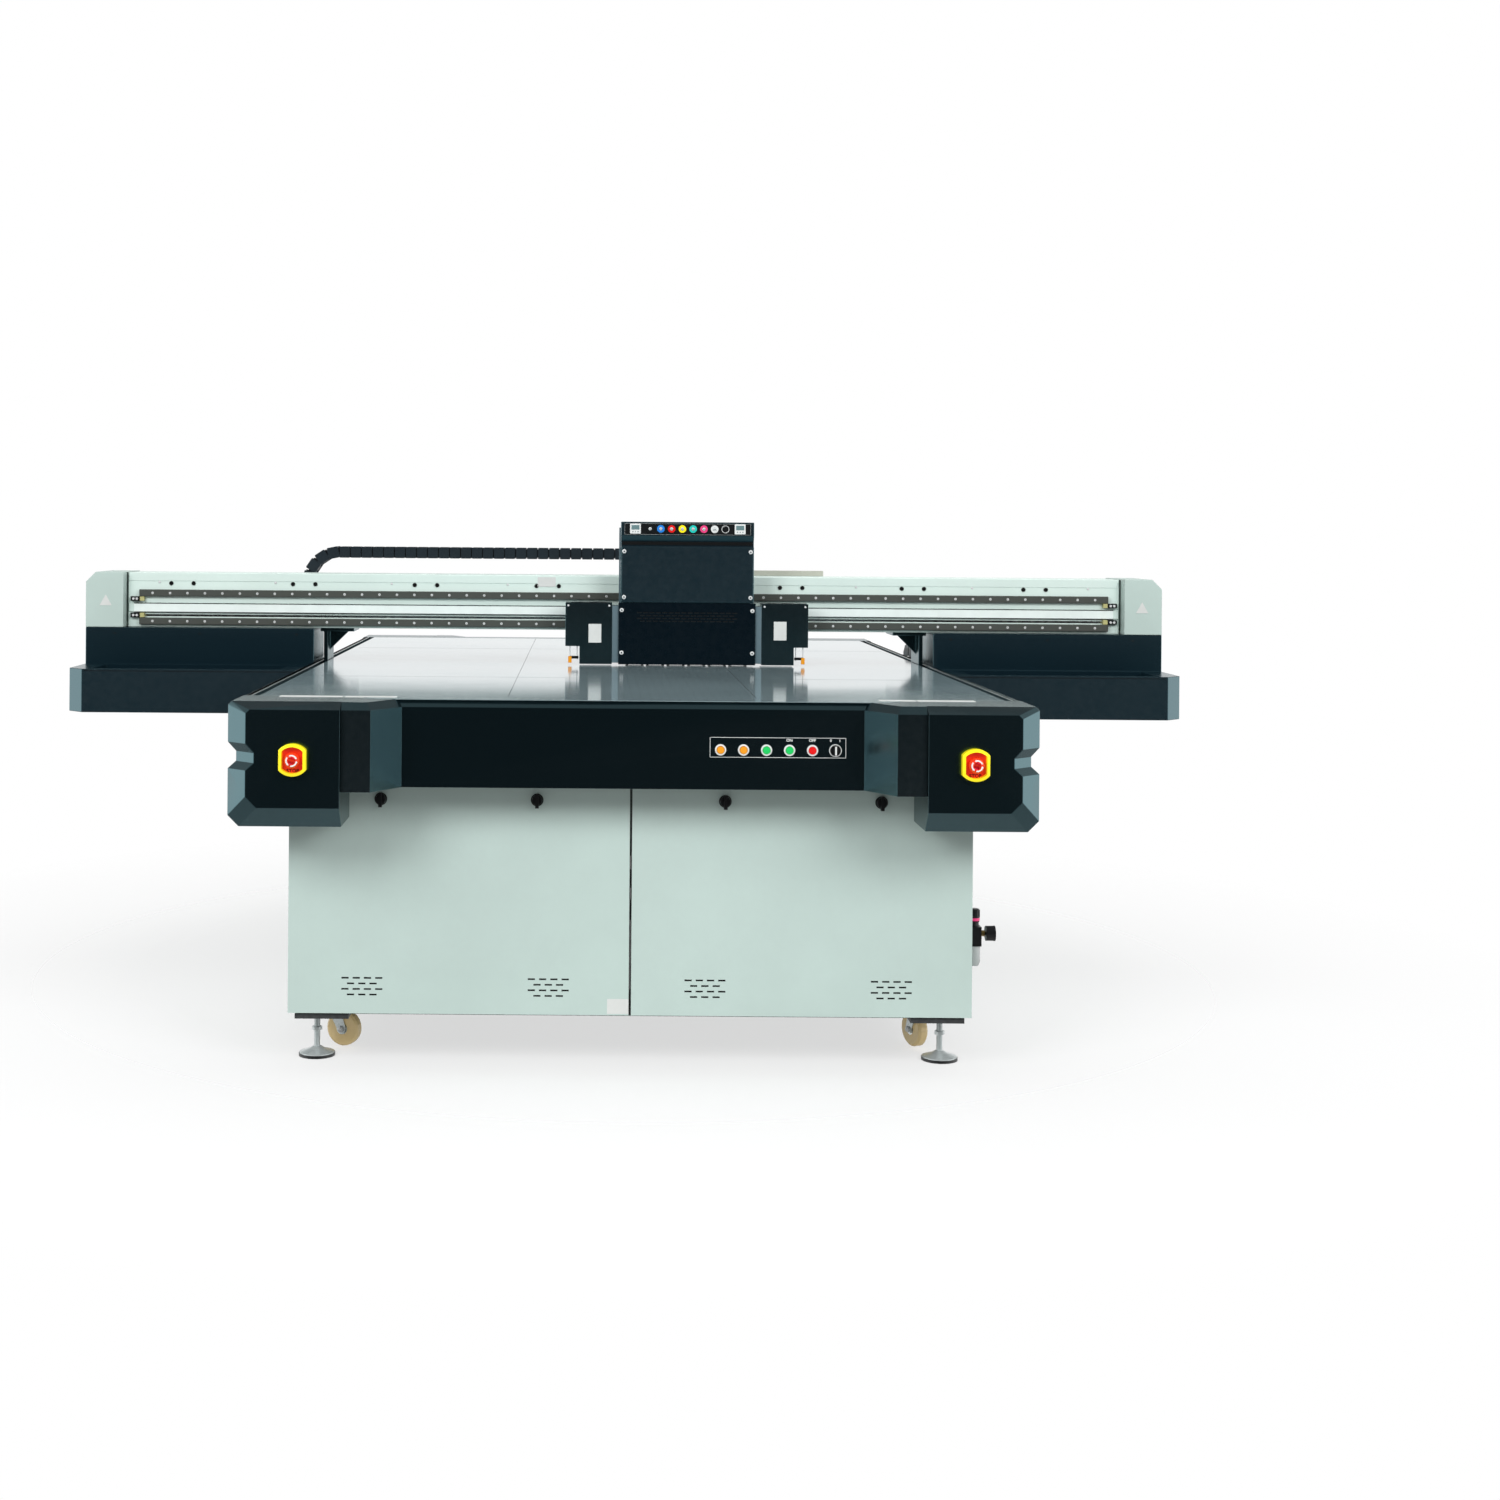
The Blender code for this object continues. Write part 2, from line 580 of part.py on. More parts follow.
def cover_rings(back):
    """Rings of the corner cover, front face first: notched at its outer side and bevelled to the front."""
    side, foot, shoulder = 0.054, 0.055, 0.018
    front, edge = -COVER_Y, -COVER_Y + 0.052

    def outline(outer, bottom, top, notch):
        return [
            (COVER_INNER_X, bottom),
            (outer - 0.029, bottom),
            (outer, bottom + 0.029),
            (outer, 0.855),
            (outer - notch, 0.875),
            (outer - notch, 0.901),
            (outer, 0.925),
            (outer, top - 0.010),
            (outer - 0.010, top),
            (COVER_INNER_X, top),
        ]

    face = outline(COVER_X - side, COVER_BOTTOM + foot, TABLE_TOP - shoulder, 0.022)
    body = outline(COVER_X, COVER_BOTTOM, TABLE_TOP, 0.022)
    return [[(x, y, z) for x, z in ring] for ring, y in ((face, front), (body, edge), (body, back))]


def corner_cover(name):
    """The faceted cover on the right front corner, a shell open at the back, with the stop button's hole."""
    back = -TABLE_Y - SEAM
    shell = loft(name, cover_rings(back), BLACK_PAINT)
    x = (COVER_INNER_X + SHEET, COVER_X - 0.030)
    inner = [(x[0], -COVER_Y + SHEET), (x[1] - 0.050, -COVER_Y + SHEET), (x[1], -COVER_Y + 0.054), (x[1], back + 0.01),
             (x[0], back + 0.01)]
    hollow = prism("hollow", inner, "z", (COVER_BOTTOM + 0.070, TABLE_TOP - 0.022))
    lower = block("hollow", x, (-COVER_Y + 0.060, back + 0.01), (COVER_BOTTOM + SHEET, COVER_BOTTOM + 0.072))
    hole = turned("hole", [(0.011 + SHAFT_FIT, -0.02), (0.011 + SHAFT_FIT, 0.02)], (STOP_X, -COVER_Y, STOP_Z), "y",
                  steps=SMALL_ROUND)
    return cut(shell, hollow, lower, hole)


def rear_cover():
    """The cover round the rear end of the table, with its two corners in one piece."""
    back = -TABLE_Y - SEAM
    middle = fascia_shell("rear_cover")
    corner = loft("corner", cover_rings(back))
    hollow = block("hollow", (COVER_INNER_X + SHEET, COVER_X - 0.030), (-COVER_Y + 0.060, back + 0.01),
                   (COVER_BOTTOM + SHEET, TABLE_TOP - 0.022))
    cut(corner, hollow)
    tie = block("tie", (COVER_INNER_X - 0.010, COVER_INNER_X + 0.002), (-COVER_Y + 0.060, back), (0.82, 0.98))
    other, other_tie = mirrored(corner, "corner"), mirrored(tie, "tie")
    join(middle, tie, other_tie, corner, other)
    middle.data.transform(Matrix.Rotation(math.pi, 4, "Z"))
    return middle


# Controls


def push_button(name, x, look):
    """A spring-return button: a cap in front of the fascia and a collar behind its hole."""
    gap = BUTTON_TRAVEL + 0.0015
    profile = [(0.0095, -gap - 0.006), (0.0105, -gap - 0.005), (0.0105, -gap), (0.008, -gap), (0.008, SHEET + SEAM),
               (0.0105, SHEET + SEAM), (0.0105, SHEET + 0.003), (0.006, SHEET + 0.004)]
    press = pivot(f"{name}_press", (x, -FASCIA_Y, BUTTON_Z))
    hang(press, turned(name, profile, (x, -FASCIA_Y, BUTTON_Z), "y", look, SMALL_ROUND))


def key_switch(x):
    """The rotary switch: a round body with a finger bar across it."""
    profile = [(0.0135, -0.006), (0.0145, -0.005), (0.0145, -SEAM), (0.008, -SEAM), (0.008, SHEET + SEAM),
               (0.0105, SHEET + SEAM), (0.0105, SHEET + 0.003)]
    place = (x, -FASCIA_Y, BUTTON_Z)
    switch = turned("key_switch", profile, place, "y", BLACK_PLASTIC, SMALL_ROUND)
    bar = block("bar", (x - 0.004, x + 0.004), (-FASCIA_Y - 0.016, -FASCIA_Y - 0.004), (BUTTON_Z - 0.0125, BUTTON_Z + 0.0125))
    hang(pivot("key_switch_turn", place), join(switch, bar))


def stop_button(name, sign):
    """The mushroom head of an emergency stop, with its stem through the corner cover."""
    gap = 0.012 + STOP_TRAVEL
    profile = [(0.010, -gap - 0.018), (0.017, -gap - 0.016), (0.020, -gap - 0.010), (0.020, -gap - 0.003), (0.018, -gap),
               (0.011, -gap), (0.011, SHEET + SEAM), (0.014, SHEET + SEAM), (0.014, SHEET + 0.005)]
    place = (sign * STOP_X, -COVER_Y, STOP_Z)
    hang(pivot(f"{name}_press", place), turned(name, profile, place, "y", RED_PLASTIC, SMALL_ROUND))


def air_regulator():
    """The filter and regulator on the right side of the cabinet, with its gauge and bowl, and its loose knob."""
    x0, y, z = CABINET_X + SEAM, -CABINET_Y + 0.105, 0.355
    x = x0 + 0.024
    body = block("air_regulator", (x - 0.018, x + 0.018), (y - 0.018, y + 0.018), (z - 0.022, z + 0.032), BLACK_PLASTIC)
    bracket = block("bracket", (x0, x0 + 0.008), (y - 0.025, y + 0.025), (z - 0.010, z + 0.045))
    bowl = turned("bowl", [(0.012, z - 0.076), (0.016, z - 0.068), (0.016, z - 0.018)], (x, y, 0), "z", steps=SMALL_ROUND)
    stem = turned("stem", [(0.005, 0.010), (0.005, 0.035)], (x, y, z + 0.012), "x", steps=SMALL_ROUND)
    gauge = turned("gauge", [(0.021, 0.032), (0.021, 0.058)], (x, y, z + 0.012), "x", steps=SMALL_ROUND)
    collar = turned("collar", [(0.013, z + 0.030), (0.013, z + 0.044), (0.004, z + 0.044), (0.004, z + 0.060)], (x, y, 0), "z",
                    steps=SMALL_ROUND)
    join(body, bracket, bowl, stem, gauge, collar)
    top = z + 0.044 + SEAM
    knob = turned("regulator_knob", [(0.014, 0), (0.015, 0.003), (0.015, 0.034), (0.012, 0.037)], (x, y, top), "z",
                  BLACK_PLASTIC, SMALL_ROUND)
    bore = turned("bore", [(0.004 + SHAFT_FIT, -0.01), (0.004 + SHAFT_FIT, 0.018)], (x, y, top), "z", steps=SMALL_ROUND)
    hang(pivot("regulator_knob_turn", (x, y, top)), cut(knob, bore))


# Gantry


def gantry_beam():
    """The hollow beam, with the motor track between its guide rails and the chain tray at its back."""
    beam = block("gantry_beam", (-BEAM_X, BEAM_X), (BEAM_FRONT, BEAM_BACK), (BEAM_BOTTOM, BEAM_TOP), GREY_PAINT)
    bore = block("bore", (-BEAM_X - 0.01, BEAM_X + 0.01), (BEAM_FRONT + 0.010, BEAM_BACK - 0.010),
                 (BEAM_BOTTOM + 0.010, BEAM_TOP - 0.010))
    cut(beam, bore)
    track_z = (LOWER_RAIL_Z + 0.031, LOWER_RAIL_Z + 0.060)
    track = block("track", (-BEAM_X + 0.004, BEAM_X - 0.004), (BEAM_FRONT - 0.006, BEAM_FRONT + 0.004), track_z)
    floor = X_CHAIN_TOP - 2 * X_CHAIN_RADIUS - SEAM
    tray_back = X_CHAIN_Y[1] + 0.008
    tray = [
        (BEAM_BACK - 0.003, floor - 0.004),
        (tray_back, floor - 0.004),
        (tray_back, floor + 0.050),
        (tray_back - 0.003, floor + 0.050),
        (tray_back - 0.003, floor),
        (BEAM_BACK + 0.003, floor),
        (BEAM_BACK + 0.003, BEAM_BOTTOM + 0.040),
        (BEAM_BACK - 0.003, BEAM_BOTTOM + 0.040),
    ]
    shelf = prism("tray", tray, "x", (-SKIRT_X + 0.003, X_CHAIN_FIXED + 0.03))
    run_out = prism("tray", [(STATION_BACK + 0.002, floor - 0.004)] + tray[1:5] + [(STATION_BACK + 0.002, floor)], "x",
                    (-BEAM_X + 0.02, -SKIRT_X + 0.010))
    join(shelf, run_out)
    duct = block("duct", (0.10, X_CHAIN_FIXED + 0.005), (BEAM_BACK - 0.03, BEAM_BACK + 0.003), (BEAM_TOP - 0.05, BEAM_TOP + 0.018))
    return join(beam, track, shelf, duct)


def x_rail(name, z):
    """One of the two guide rails on the beam's front."""
    y = (BEAM_FRONT - SEAM - RAIL_PROUD, BEAM_FRONT - SEAM)
    return block(name, (-RAIL_X, RAIL_X), y, (z - RAIL_WIDTH / 2, z + RAIL_WIDTH / 2), STEEL)


def end_cover(name, sign):
    """The painted cover over one end of the beam, open towards it, with its outer top edge bevelled."""
    inner, outer, bevel = GANTRY_X - END_COVER_WIDTH, GANTRY_X, 0.033
    top, low = BEAM_TOP + 0.002, BEAM_BOTTOM
    outline = [(inner, low), (outer, low), (outer, top - bevel), (outer - bevel, top), (inner, top)]
    cover = prism(name, [(sign * x, z) for x, z in outline], "y", (END_COVER_FRONT, STATION_BACK), GREY_PAINT)
    hollow = [(inner - 0.01, low + SHEET), (outer - SHEET, low + SHEET), (outer - SHEET, top - bevel - 0.002),
              (outer - bevel - 0.002, top - SHEET), (inner - 0.01, top - SHEET)]
    cutter = prism("hollow", [(sign * x, z) for x, z in hollow], "y", (END_COVER_FRONT + SHEET, STATION_BACK - SHEET))
    return cut(cover, cutter)


def station(name, sign):
    """The housing hung under one end of the beam, with the sunk tray that the head parks over."""
    low = [(STATION_X, STATION_FRONT), (GANTRY_X - STATION_CHAMFER, STATION_FRONT), (GANTRY_X, STATION_FRONT + STATION_CHAMFER),
           (GANTRY_X, STATION_BACK), (STATION_X, STATION_BACK)]
    box = prism(name, [(sign * x, y) for x, y in low], "z", (STATION_BOTTOM, STATION_TOP), BLACK_PAINT)
    skirt = block("skirt", sorted((sign * SKIRT_X, sign * GANTRY_X)), (END_COVER_FRONT, STATION_BACK),
                  (STATION_TOP - 0.010, BEAM_BOTTOM - SEAM))
    join(box, skirt)
    tray = block("tray", sorted((sign * (STATION_X + 0.060), sign * (GANTRY_X - 0.080))),
                 (STATION_FRONT + 0.045, END_COVER_FRONT - 0.030), (STATION_TOP - 0.080, STATION_TOP + 0.01))
    service = block("service", sorted((sign * (STATION_X + 0.020), sign * (GANTRY_X - 0.020))),
                    (END_COVER_FRONT + 0.020, STATION_BACK + 0.01), (STATION_BOTTOM + 0.010, BEAM_BOTTOM - 0.020))
    under = block("under", sorted((sign * (STATION_X + 0.030), sign * (GANTRY_X - 0.060))),
                  (STATION_FRONT + 0.030, END_COVER_FRONT + 0.010), (STATION_BOTTOM - 0.01, STATION_TOP - 0.084))
    cut(box, tray, service, under)
    if sign > 0:
        seat = Y_CHAIN_TOP - CHAIN_HEIGHT - SEAM
        bracket = block("bracket", (Y_CHAIN_X[0] + 0.006, Y_CHAIN_X[1] - 0.002), (STATION_BACK - 0.015, STATION_BACK + 0.090),
                        (seat - 0.008, seat))
        join(box, bracket)
    return box


def gantry_leg(name, sign):
    """The plate that drops through the slot beside the table to a block on the guide rail."""
    flange_top = BEAM_BOTTOM - SEAM
    rail_top = FRAME_TOP + SIDE_WEB + 2 * SEAM + RAIL_PROUD
    y = (BEAM_FRONT + 0.02, BEAM_BACK - 0.01)
    plate = (TABLE_X + 0.003, TABLE_X + LEG_SLOT - 0.003)
    leg = block(name, sorted((sign * plate[0], sign * plate[1])), y, (rail_top - 0.010, flange_top - 0.002), BLACK_PAINT)
    flange = block("flange", sorted((sign * (plate[0] - 0.090), sign * (plate[1] + 0.012))), y, (flange_top - 0.012, flange_top))
    rib = prism("rib", [(sign * (plate[0] + 0.002), flange_top - 0.004), (sign * (plate[0] - 0.075), flange_top - 0.004),
                        (sign * (plate[0] + 0.002), flange_top - 0.080)], "y", (y[0] + 0.060, y[0] + 0.070))
    inner = Y_RAIL_X - 0.030
    slider = block("slider", sorted((sign * inner, sign * (plate[0] + 0.002))), y, (rail_top - 0.010, rail_top + 0.026))
    groove = block("groove", sorted((sign * (Y_RAIL_X - RAIL_WIDTH / 2 - SEAM), sign * (Y_RAIL_X + RAIL_WIDTH / 2 + SEAM))),
                   (y[0] - 0.01, y[1] + 0.01), (rail_top - 0.02, rail_top + SEAM))
    cut(slider, groove)
    return join(leg, flange, rib, slider)


def chain(name, along, across, top, radius, straight, look=BLACK_PLASTIC):
    """A cable chain as a plain U: an upper run, a bend and a lower run.

    The bend is at the first place in straight, and the two runs end at the next two places.
    """
    bend, upper_end, lower_end = straight
    side = 1 if upper_end > bend else -1
    centre = (bend + side * radius, top - radius)
    path = []
    steps = 12
    for r, turns in ((radius, range(steps + 1)), (radius - CHAIN_HEIGHT, range(steps, -1, -1))):
        arc = [(centre[0] - side * r * math.sin(math.pi * i / steps), centre[1] + r * math.cos(math.pi * i / steps))
               for i in turns]
        if r == radius:
            path += [(upper_end, top)] + arc + [(lower_end, top - 2 * radius)]
        else:
            path += [(lower_end, top - 2 * radius + CHAIN_HEIGHT)] + arc + [(upper_end, top - CHAIN_HEIGHT)]
    return prism(name, path, {"x": "y", "y": "x"}[along], across, look)


# Print head


def x_slide():
    """The slide on the beam's rails: a plate, four rail blocks, the lift guides and the chain's arm."""
    half = HOOD_WIDTH / 2 - 0.020
    y = (SLIDE_BACK - SLIDE_PLATE, SLIDE_BACK)
    plate = block("x_slide", (HEAD_X - half, HEAD_X + half), y, (BEAM_BOTTOM + 0.002, BEAM_TOP + 0.036), ALUMINIUM)
    pieces = []
    for z in (LOWER_RAIL_Z, UPPER_RAIL_Z):
        for x in (HEAD_X - half + 0.050, HEAD_X + half - 0.050):
            rider = block("rider", (x - 0.040, x + 0.040), (SLIDE_BACK - 0.004, BEAM_FRONT - 0.008), (z - 0.019, z + 0.019))
            groove = block("groove", (x - 0.05, x + 0.05), (BEAM_FRONT - 2 * SEAM - RAIL_PROUD, BEAM_FRONT + 0.01),
                           (z - RAIL_WIDTH / 2 - SEAM, z + RAIL_WIDTH / 2 + SEAM))
            pieces.append(cut(rider, groove))
    for x in (HEAD_X - 0.14, HEAD_X + 0.14):
        pieces.append(block("guide", (x - 0.010, x + 0.010), (y[0] - 0.010, y[0] + 0.002), (BEAM_BOTTOM + 0.004, BEAM_TOP + 0.034)))
    arm_x = (HEAD_X - half + 0.010, HEAD_X - half + 0.120)
    seat = X_CHAIN_TOP - CHAIN_HEIGHT - SEAM
    pieces.append(block("arm", arm_x, (y[0] + 0.002, X_CHAIN_Y[1]), (BEAM_TOP + 0.026, BEAM_TOP + 0.036)))
    pieces.append(block("riser", arm_x, (X_CHAIN_Y[0], X_CHAIN_Y[1]), (BEAM_TOP + 0.030, seat)))
    return join(plate, *pieces)


def head_frame():
    """The chassis of the print head: a back plate that rides the lift guides, a nozzle plate and the heads."""
    guide_front = SLIDE_BACK - SLIDE_PLATE - 0.010
    back = (guide_front - SEAM - 0.006, guide_front - SEAM)
    half = APRON_WIDTH / 2 - 0.002
    frame = block("head_frame", (HEAD_X - half, HEAD_X + half), back, (HEAD_BOTTOM + 0.004, HOOD_TOP - 0.020), ALUMINIUM)
    pieces = [block("floor", (HEAD_X - half, HEAD_X + half), (HEAD_FRONT + 0.008, back[0] + 0.002),
                    (HEAD_BOTTOM + 0.004, HEAD_BOTTOM + 0.014))]
    for x in (HEAD_X - half, HEAD_X + half - 0.005):
        pieces.append(block("cheek", (x, x + 0.005), (HEAD_FRONT + 0.012, back[0] + 0.002), (HEAD_BOTTOM + 0.006, HOOD_BOTTOM - 0.010)))
    for i in range(6):
        x = HEAD_X + (i - 2.5) * 0.070
        pieces.append(block("nozzles", (x - 0.022, x + 0.022), (HEAD_FRONT + 0.016, back[0] - 0.006), (HEAD_BOTTOM, HEAD_BOTTOM + 0.060)))
    for side in (-1, 1):
        reach = sorted((HEAD_X + side * (half - 0.003), HEAD_X + side * (LAMP_INNER - SEAM)))
        pieces.append(block("strip", reach, (HEAD_FRONT + 0.008, back[1]), (HEAD_BOTTOM + 0.006, HOOD_BOTTOM - 0.012)))
    return join(frame, *pieces)


def hood():
    """The upper cover of the head: a gauge strip leaning over a groove, above a flat front."""
    front = HEAD_FRONT
    back = SLIDE_BACK - SLIDE_PLATE - 0.010 - 2 * SEAM - 0.006
    outline = [
        (back, HOOD_BOTTOM),
        (front, HOOD_BOTTOM),
        (front, HOOD_TOP - 0.083),
        (front + 0.010, HOOD_TOP - 0.078),
        (front + 0.010, HOOD_TOP - 0.066),
        (front - 0.004, HOOD_TOP - 0.046),
        (front - 0.004, HOOD_TOP - 0.004),
        (front, HOOD_TOP),
        (back, HOOD_TOP),
    ]
    x = (HEAD_X - HOOD_WIDTH / 2, HEAD_X + HOOD_WIDTH / 2)
    cover = prism("head_hood", outline, "x", x, BLACK_PAINT)
    hollow = block("hollow", (x[0] + SHEET, x[1] - SHEET), (front + 0.014, back + 0.01), (HOOD_BOTTOM - 0.01, HOOD_TOP - SHEET))
    return cut(cover, hollow)


def apron():
    """The lower cover of the head, a pan in front of the ink tanks."""
    x = (HEAD_X - APRON_WIDTH / 2, HEAD_X + APRON_WIDTH / 2)
    return block("head_apron", x, (HEAD_FRONT, HEAD_FRONT + 0.0077), (HEAD_BOTTOM + 0.001, HOOD_BOTTOM - PANEL_SEAM), BLACK_PAINT)


def lamp(name, side):
    """A UV lamp housing beside the head, cut away at its outer foot."""
    inner, outer = HEAD_X + side * LAMP_INNER, HEAD_X + side * (LAMP_INNER + LAMP_WIDTH)
    foot = outer - side * 0.048
    top, step, low = HOOD_BOTTOM - 0.002, TABLE_TOP + 0.064, HEAD_BOTTOM + 0.001
    outline = [(inner, low), (foot, low), (foot, step), (outer, step), (outer, top), (inner, top)]
    return prism(name, outline, "y", (HEAD_FRONT + 0.010, HEAD_BACK - 0.004), BLACK_PAINT)


def build_base():
    """Everything that stands on the floor and doesn't travel."""
    base_frame()
    for y_sign, end in spread("front", "rear"):
        for x_sign, side in spread("left", "right"):
            levelling_foot(f"levelling_foot_{end}_{side}", x_sign * FOOT_X, y_sign * FOOT_Y)
            trail = math.radians(114 if x_sign > 0 else -20) * -y_sign
            caster(f"caster_{end}_{side}", x_sign * CASTER_X, y_sign * CASTER_Y, trail)
    for sign, side in spread("left", "right"):
        front_panel(f"front_panel_{side}", sign)
        side_panel(f"side_panel_{side}", sign)
        side_beam(f"side_beam_{side}", sign)
        y_rail(f"y_rail_{side}", sign)
        stop_button(f"stop_button_{side}", sign)
    rear_panel()
    vacuum_blower()
    control_cabinet()
    table()
    front_fascia()
    right = corner_cover("corner_cover_right")
    mirrored(right, "corner_cover_left")
    rear_cover()
    colours = [AMBER_PLASTIC, AMBER_PLASTIC, GREEN_PLASTIC, GREEN_PLASTIC, RED_PLASTIC]
    for i, look in enumerate(colours):
        push_button(f"push_button_{i + 1}", FIRST_BUTTON_X + i * BUTTON_PITCH, look)
    key_switch(FIRST_BUTTON_X + BUTTON_COUNT * BUTTON_PITCH)
    air_regulator()
    chain("y_cable_chain", "y", Y_CHAIN_X, Y_CHAIN_TOP, Y_CHAIN_RADIUS, (Y_CHAIN_BEND, STATION_BACK + 0.001, Y_CHAIN_FIXED))


def build_gantry():
    """The gantry and the print head on it."""
    gantry = pivot("gantry", (0, BEAM_FRONT, BEAM_BOTTOM))
    hang(gantry, gantry_beam(), x_rail("x_rail_upper", UPPER_RAIL_Z), x_rail("x_rail_lower", LOWER_RAIL_Z))
    for sign, side in spread("left", "right"):
        hang(gantry, end_cover(f"end_cover_{side}", sign), station(f"station_{side}", sign), gantry_leg(f"gantry_leg_{side}", sign))
    arm_end = HEAD_X - HOOD_WIDTH / 2 + 0.110
    hang(gantry, chain("x_cable_chain", "x", X_CHAIN_Y, X_CHAIN_TOP, X_CHAIN_RADIUS, (X_CHAIN_BEND, arm_end, X_CHAIN_FIXED)))
    slide = pivot("x_slide_pivot", (HEAD_X, SLIDE_BACK, UPPER_RAIL_Z), gantry)
    hang(slide, x_slide())
    lift = pivot("head_lift", (HEAD_X, HEAD_BACK, HEAD_BOTTOM), slide)
    hang(lift, head_frame(), hood(), apron(), lamp("uv_lamp_left", -1), lamp("uv_lamp_right", 1))


def main():
    """Clears the scene and builds the printer."""
    for old in list(bpy.data.objects):
        bpy.data.objects.remove(old)
    build_base()
    build_gantry()


main()
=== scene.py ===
"""Flatbed UV printer: finishes, fine detail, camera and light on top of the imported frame."""

import json
import logging
import math
from dataclasses import dataclass
from enum import Enum
from typing import Callable, Iterable, Sequence

import bmesh
import bpy
from mathutils import Matrix, Vector

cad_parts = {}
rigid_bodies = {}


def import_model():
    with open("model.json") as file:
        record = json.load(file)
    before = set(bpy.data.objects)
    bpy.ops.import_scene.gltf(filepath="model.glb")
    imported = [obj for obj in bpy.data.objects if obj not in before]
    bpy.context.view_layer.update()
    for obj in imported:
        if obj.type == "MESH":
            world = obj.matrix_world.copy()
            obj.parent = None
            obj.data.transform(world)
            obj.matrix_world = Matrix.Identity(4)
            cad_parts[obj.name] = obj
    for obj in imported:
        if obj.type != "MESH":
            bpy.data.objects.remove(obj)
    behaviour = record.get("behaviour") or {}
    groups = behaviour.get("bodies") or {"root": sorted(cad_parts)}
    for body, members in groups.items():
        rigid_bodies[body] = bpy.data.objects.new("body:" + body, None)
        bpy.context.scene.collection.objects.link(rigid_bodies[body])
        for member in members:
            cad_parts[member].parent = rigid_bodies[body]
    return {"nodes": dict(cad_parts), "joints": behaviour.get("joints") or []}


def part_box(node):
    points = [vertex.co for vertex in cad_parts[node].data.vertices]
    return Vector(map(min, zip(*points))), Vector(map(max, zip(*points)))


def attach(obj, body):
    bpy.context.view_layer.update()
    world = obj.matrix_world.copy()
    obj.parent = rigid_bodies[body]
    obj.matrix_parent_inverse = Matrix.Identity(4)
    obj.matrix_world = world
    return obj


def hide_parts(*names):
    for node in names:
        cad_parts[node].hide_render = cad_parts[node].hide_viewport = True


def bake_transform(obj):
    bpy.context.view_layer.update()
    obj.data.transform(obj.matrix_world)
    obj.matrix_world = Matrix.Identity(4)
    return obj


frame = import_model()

log = logging.getLogger("printer")
Pair = tuple[float, float]
Point = tuple[float, float, float]
Colour = tuple[float, float, float]
Link = tuple[float, float, float, float]
Socket = bpy.types.NodeSocket
Node = bpy.types.Node
Tree = bpy.types.NodeTree
Material = bpy.types.Material
SIDES = ((-1, "left"), (1, "right"))
UPRIGHT = math.pi / 2


class Body(str, Enum):
    """The moving bodies that most detail rides on."""

    BASE = "base"
    GANTRY = "gantry"
    SLIDE = "x_slide"
    HEAD = "print_head"


class Axis(Enum):
    """The axis that a form stands on."""

    X = "x"
    Y = "y"
    Z = "z"

    def turn(self) -> Matrix:
        """Gives the rotation that lays +Z along this axis."""
        turns = {Axis.X: (UPRIGHT, 4, "Y"), Axis.Y: (-UPRIGHT, 4, "X"), Axis.Z: (0.0, 4, "Z")}
        return Matrix.Rotation(*turns[self])


# Shader node groups: each gives a mask, and some a normal, but no shader


def add_node(tree: Tree, kind: str, links: dict | None = None, **settings: object) -> Node:
    """Adds a node to a tree and fills its inputs.

    Args:
        tree: The tree that gets the node.
        kind: The node's type, without "ShaderNode".
        links: Socket name or index to a constant or to another socket.
        settings: Attributes of the node itself.

    Returns:
        The new node.
    """
    made = tree.nodes.new(f"ShaderNode{kind}")
    for key, value in settings.items():
        setattr(made, key, value)
    for key, value in (links or {}).items():
        if isinstance(value, Socket):
            tree.links.new(value, made.inputs[key])
        else:
            made.inputs[key].default_value = value
    return made


def add_math(tree: Tree, operation: str, *values: object, clamp: bool = False) -> Socket:
    """Adds a math node.

    Args:
        tree: The tree that gets the node.
        operation: The sum that it does.
        values: A constant or a socket for each input.
        clamp: Whether the result stays between 0 and 1.

    Returns:
        The result's socket.
    """
    return add_node(tree, "Math", dict(enumerate(values)), operation=operation,
                    use_clamp=clamp).outputs[0]


def add_range(tree: Tree, value: Socket, source: Pair, result: Pair = (0.0, 1.0)) -> Socket:
    """Adds a node that maps one range to another.

    Args:
        tree: The tree that gets the node.
        value: The socket that is mapped.
        source: The range that it comes from.
        result: The range that it goes to.

    Returns:
        The result's socket.
    """
    links = {"Value": value, "From Min": source[0], "From Max": source[1], "To Min": result[0],
             "To Max": result[1]}
    return add_node(tree, "MapRange", links).outputs["Result"]


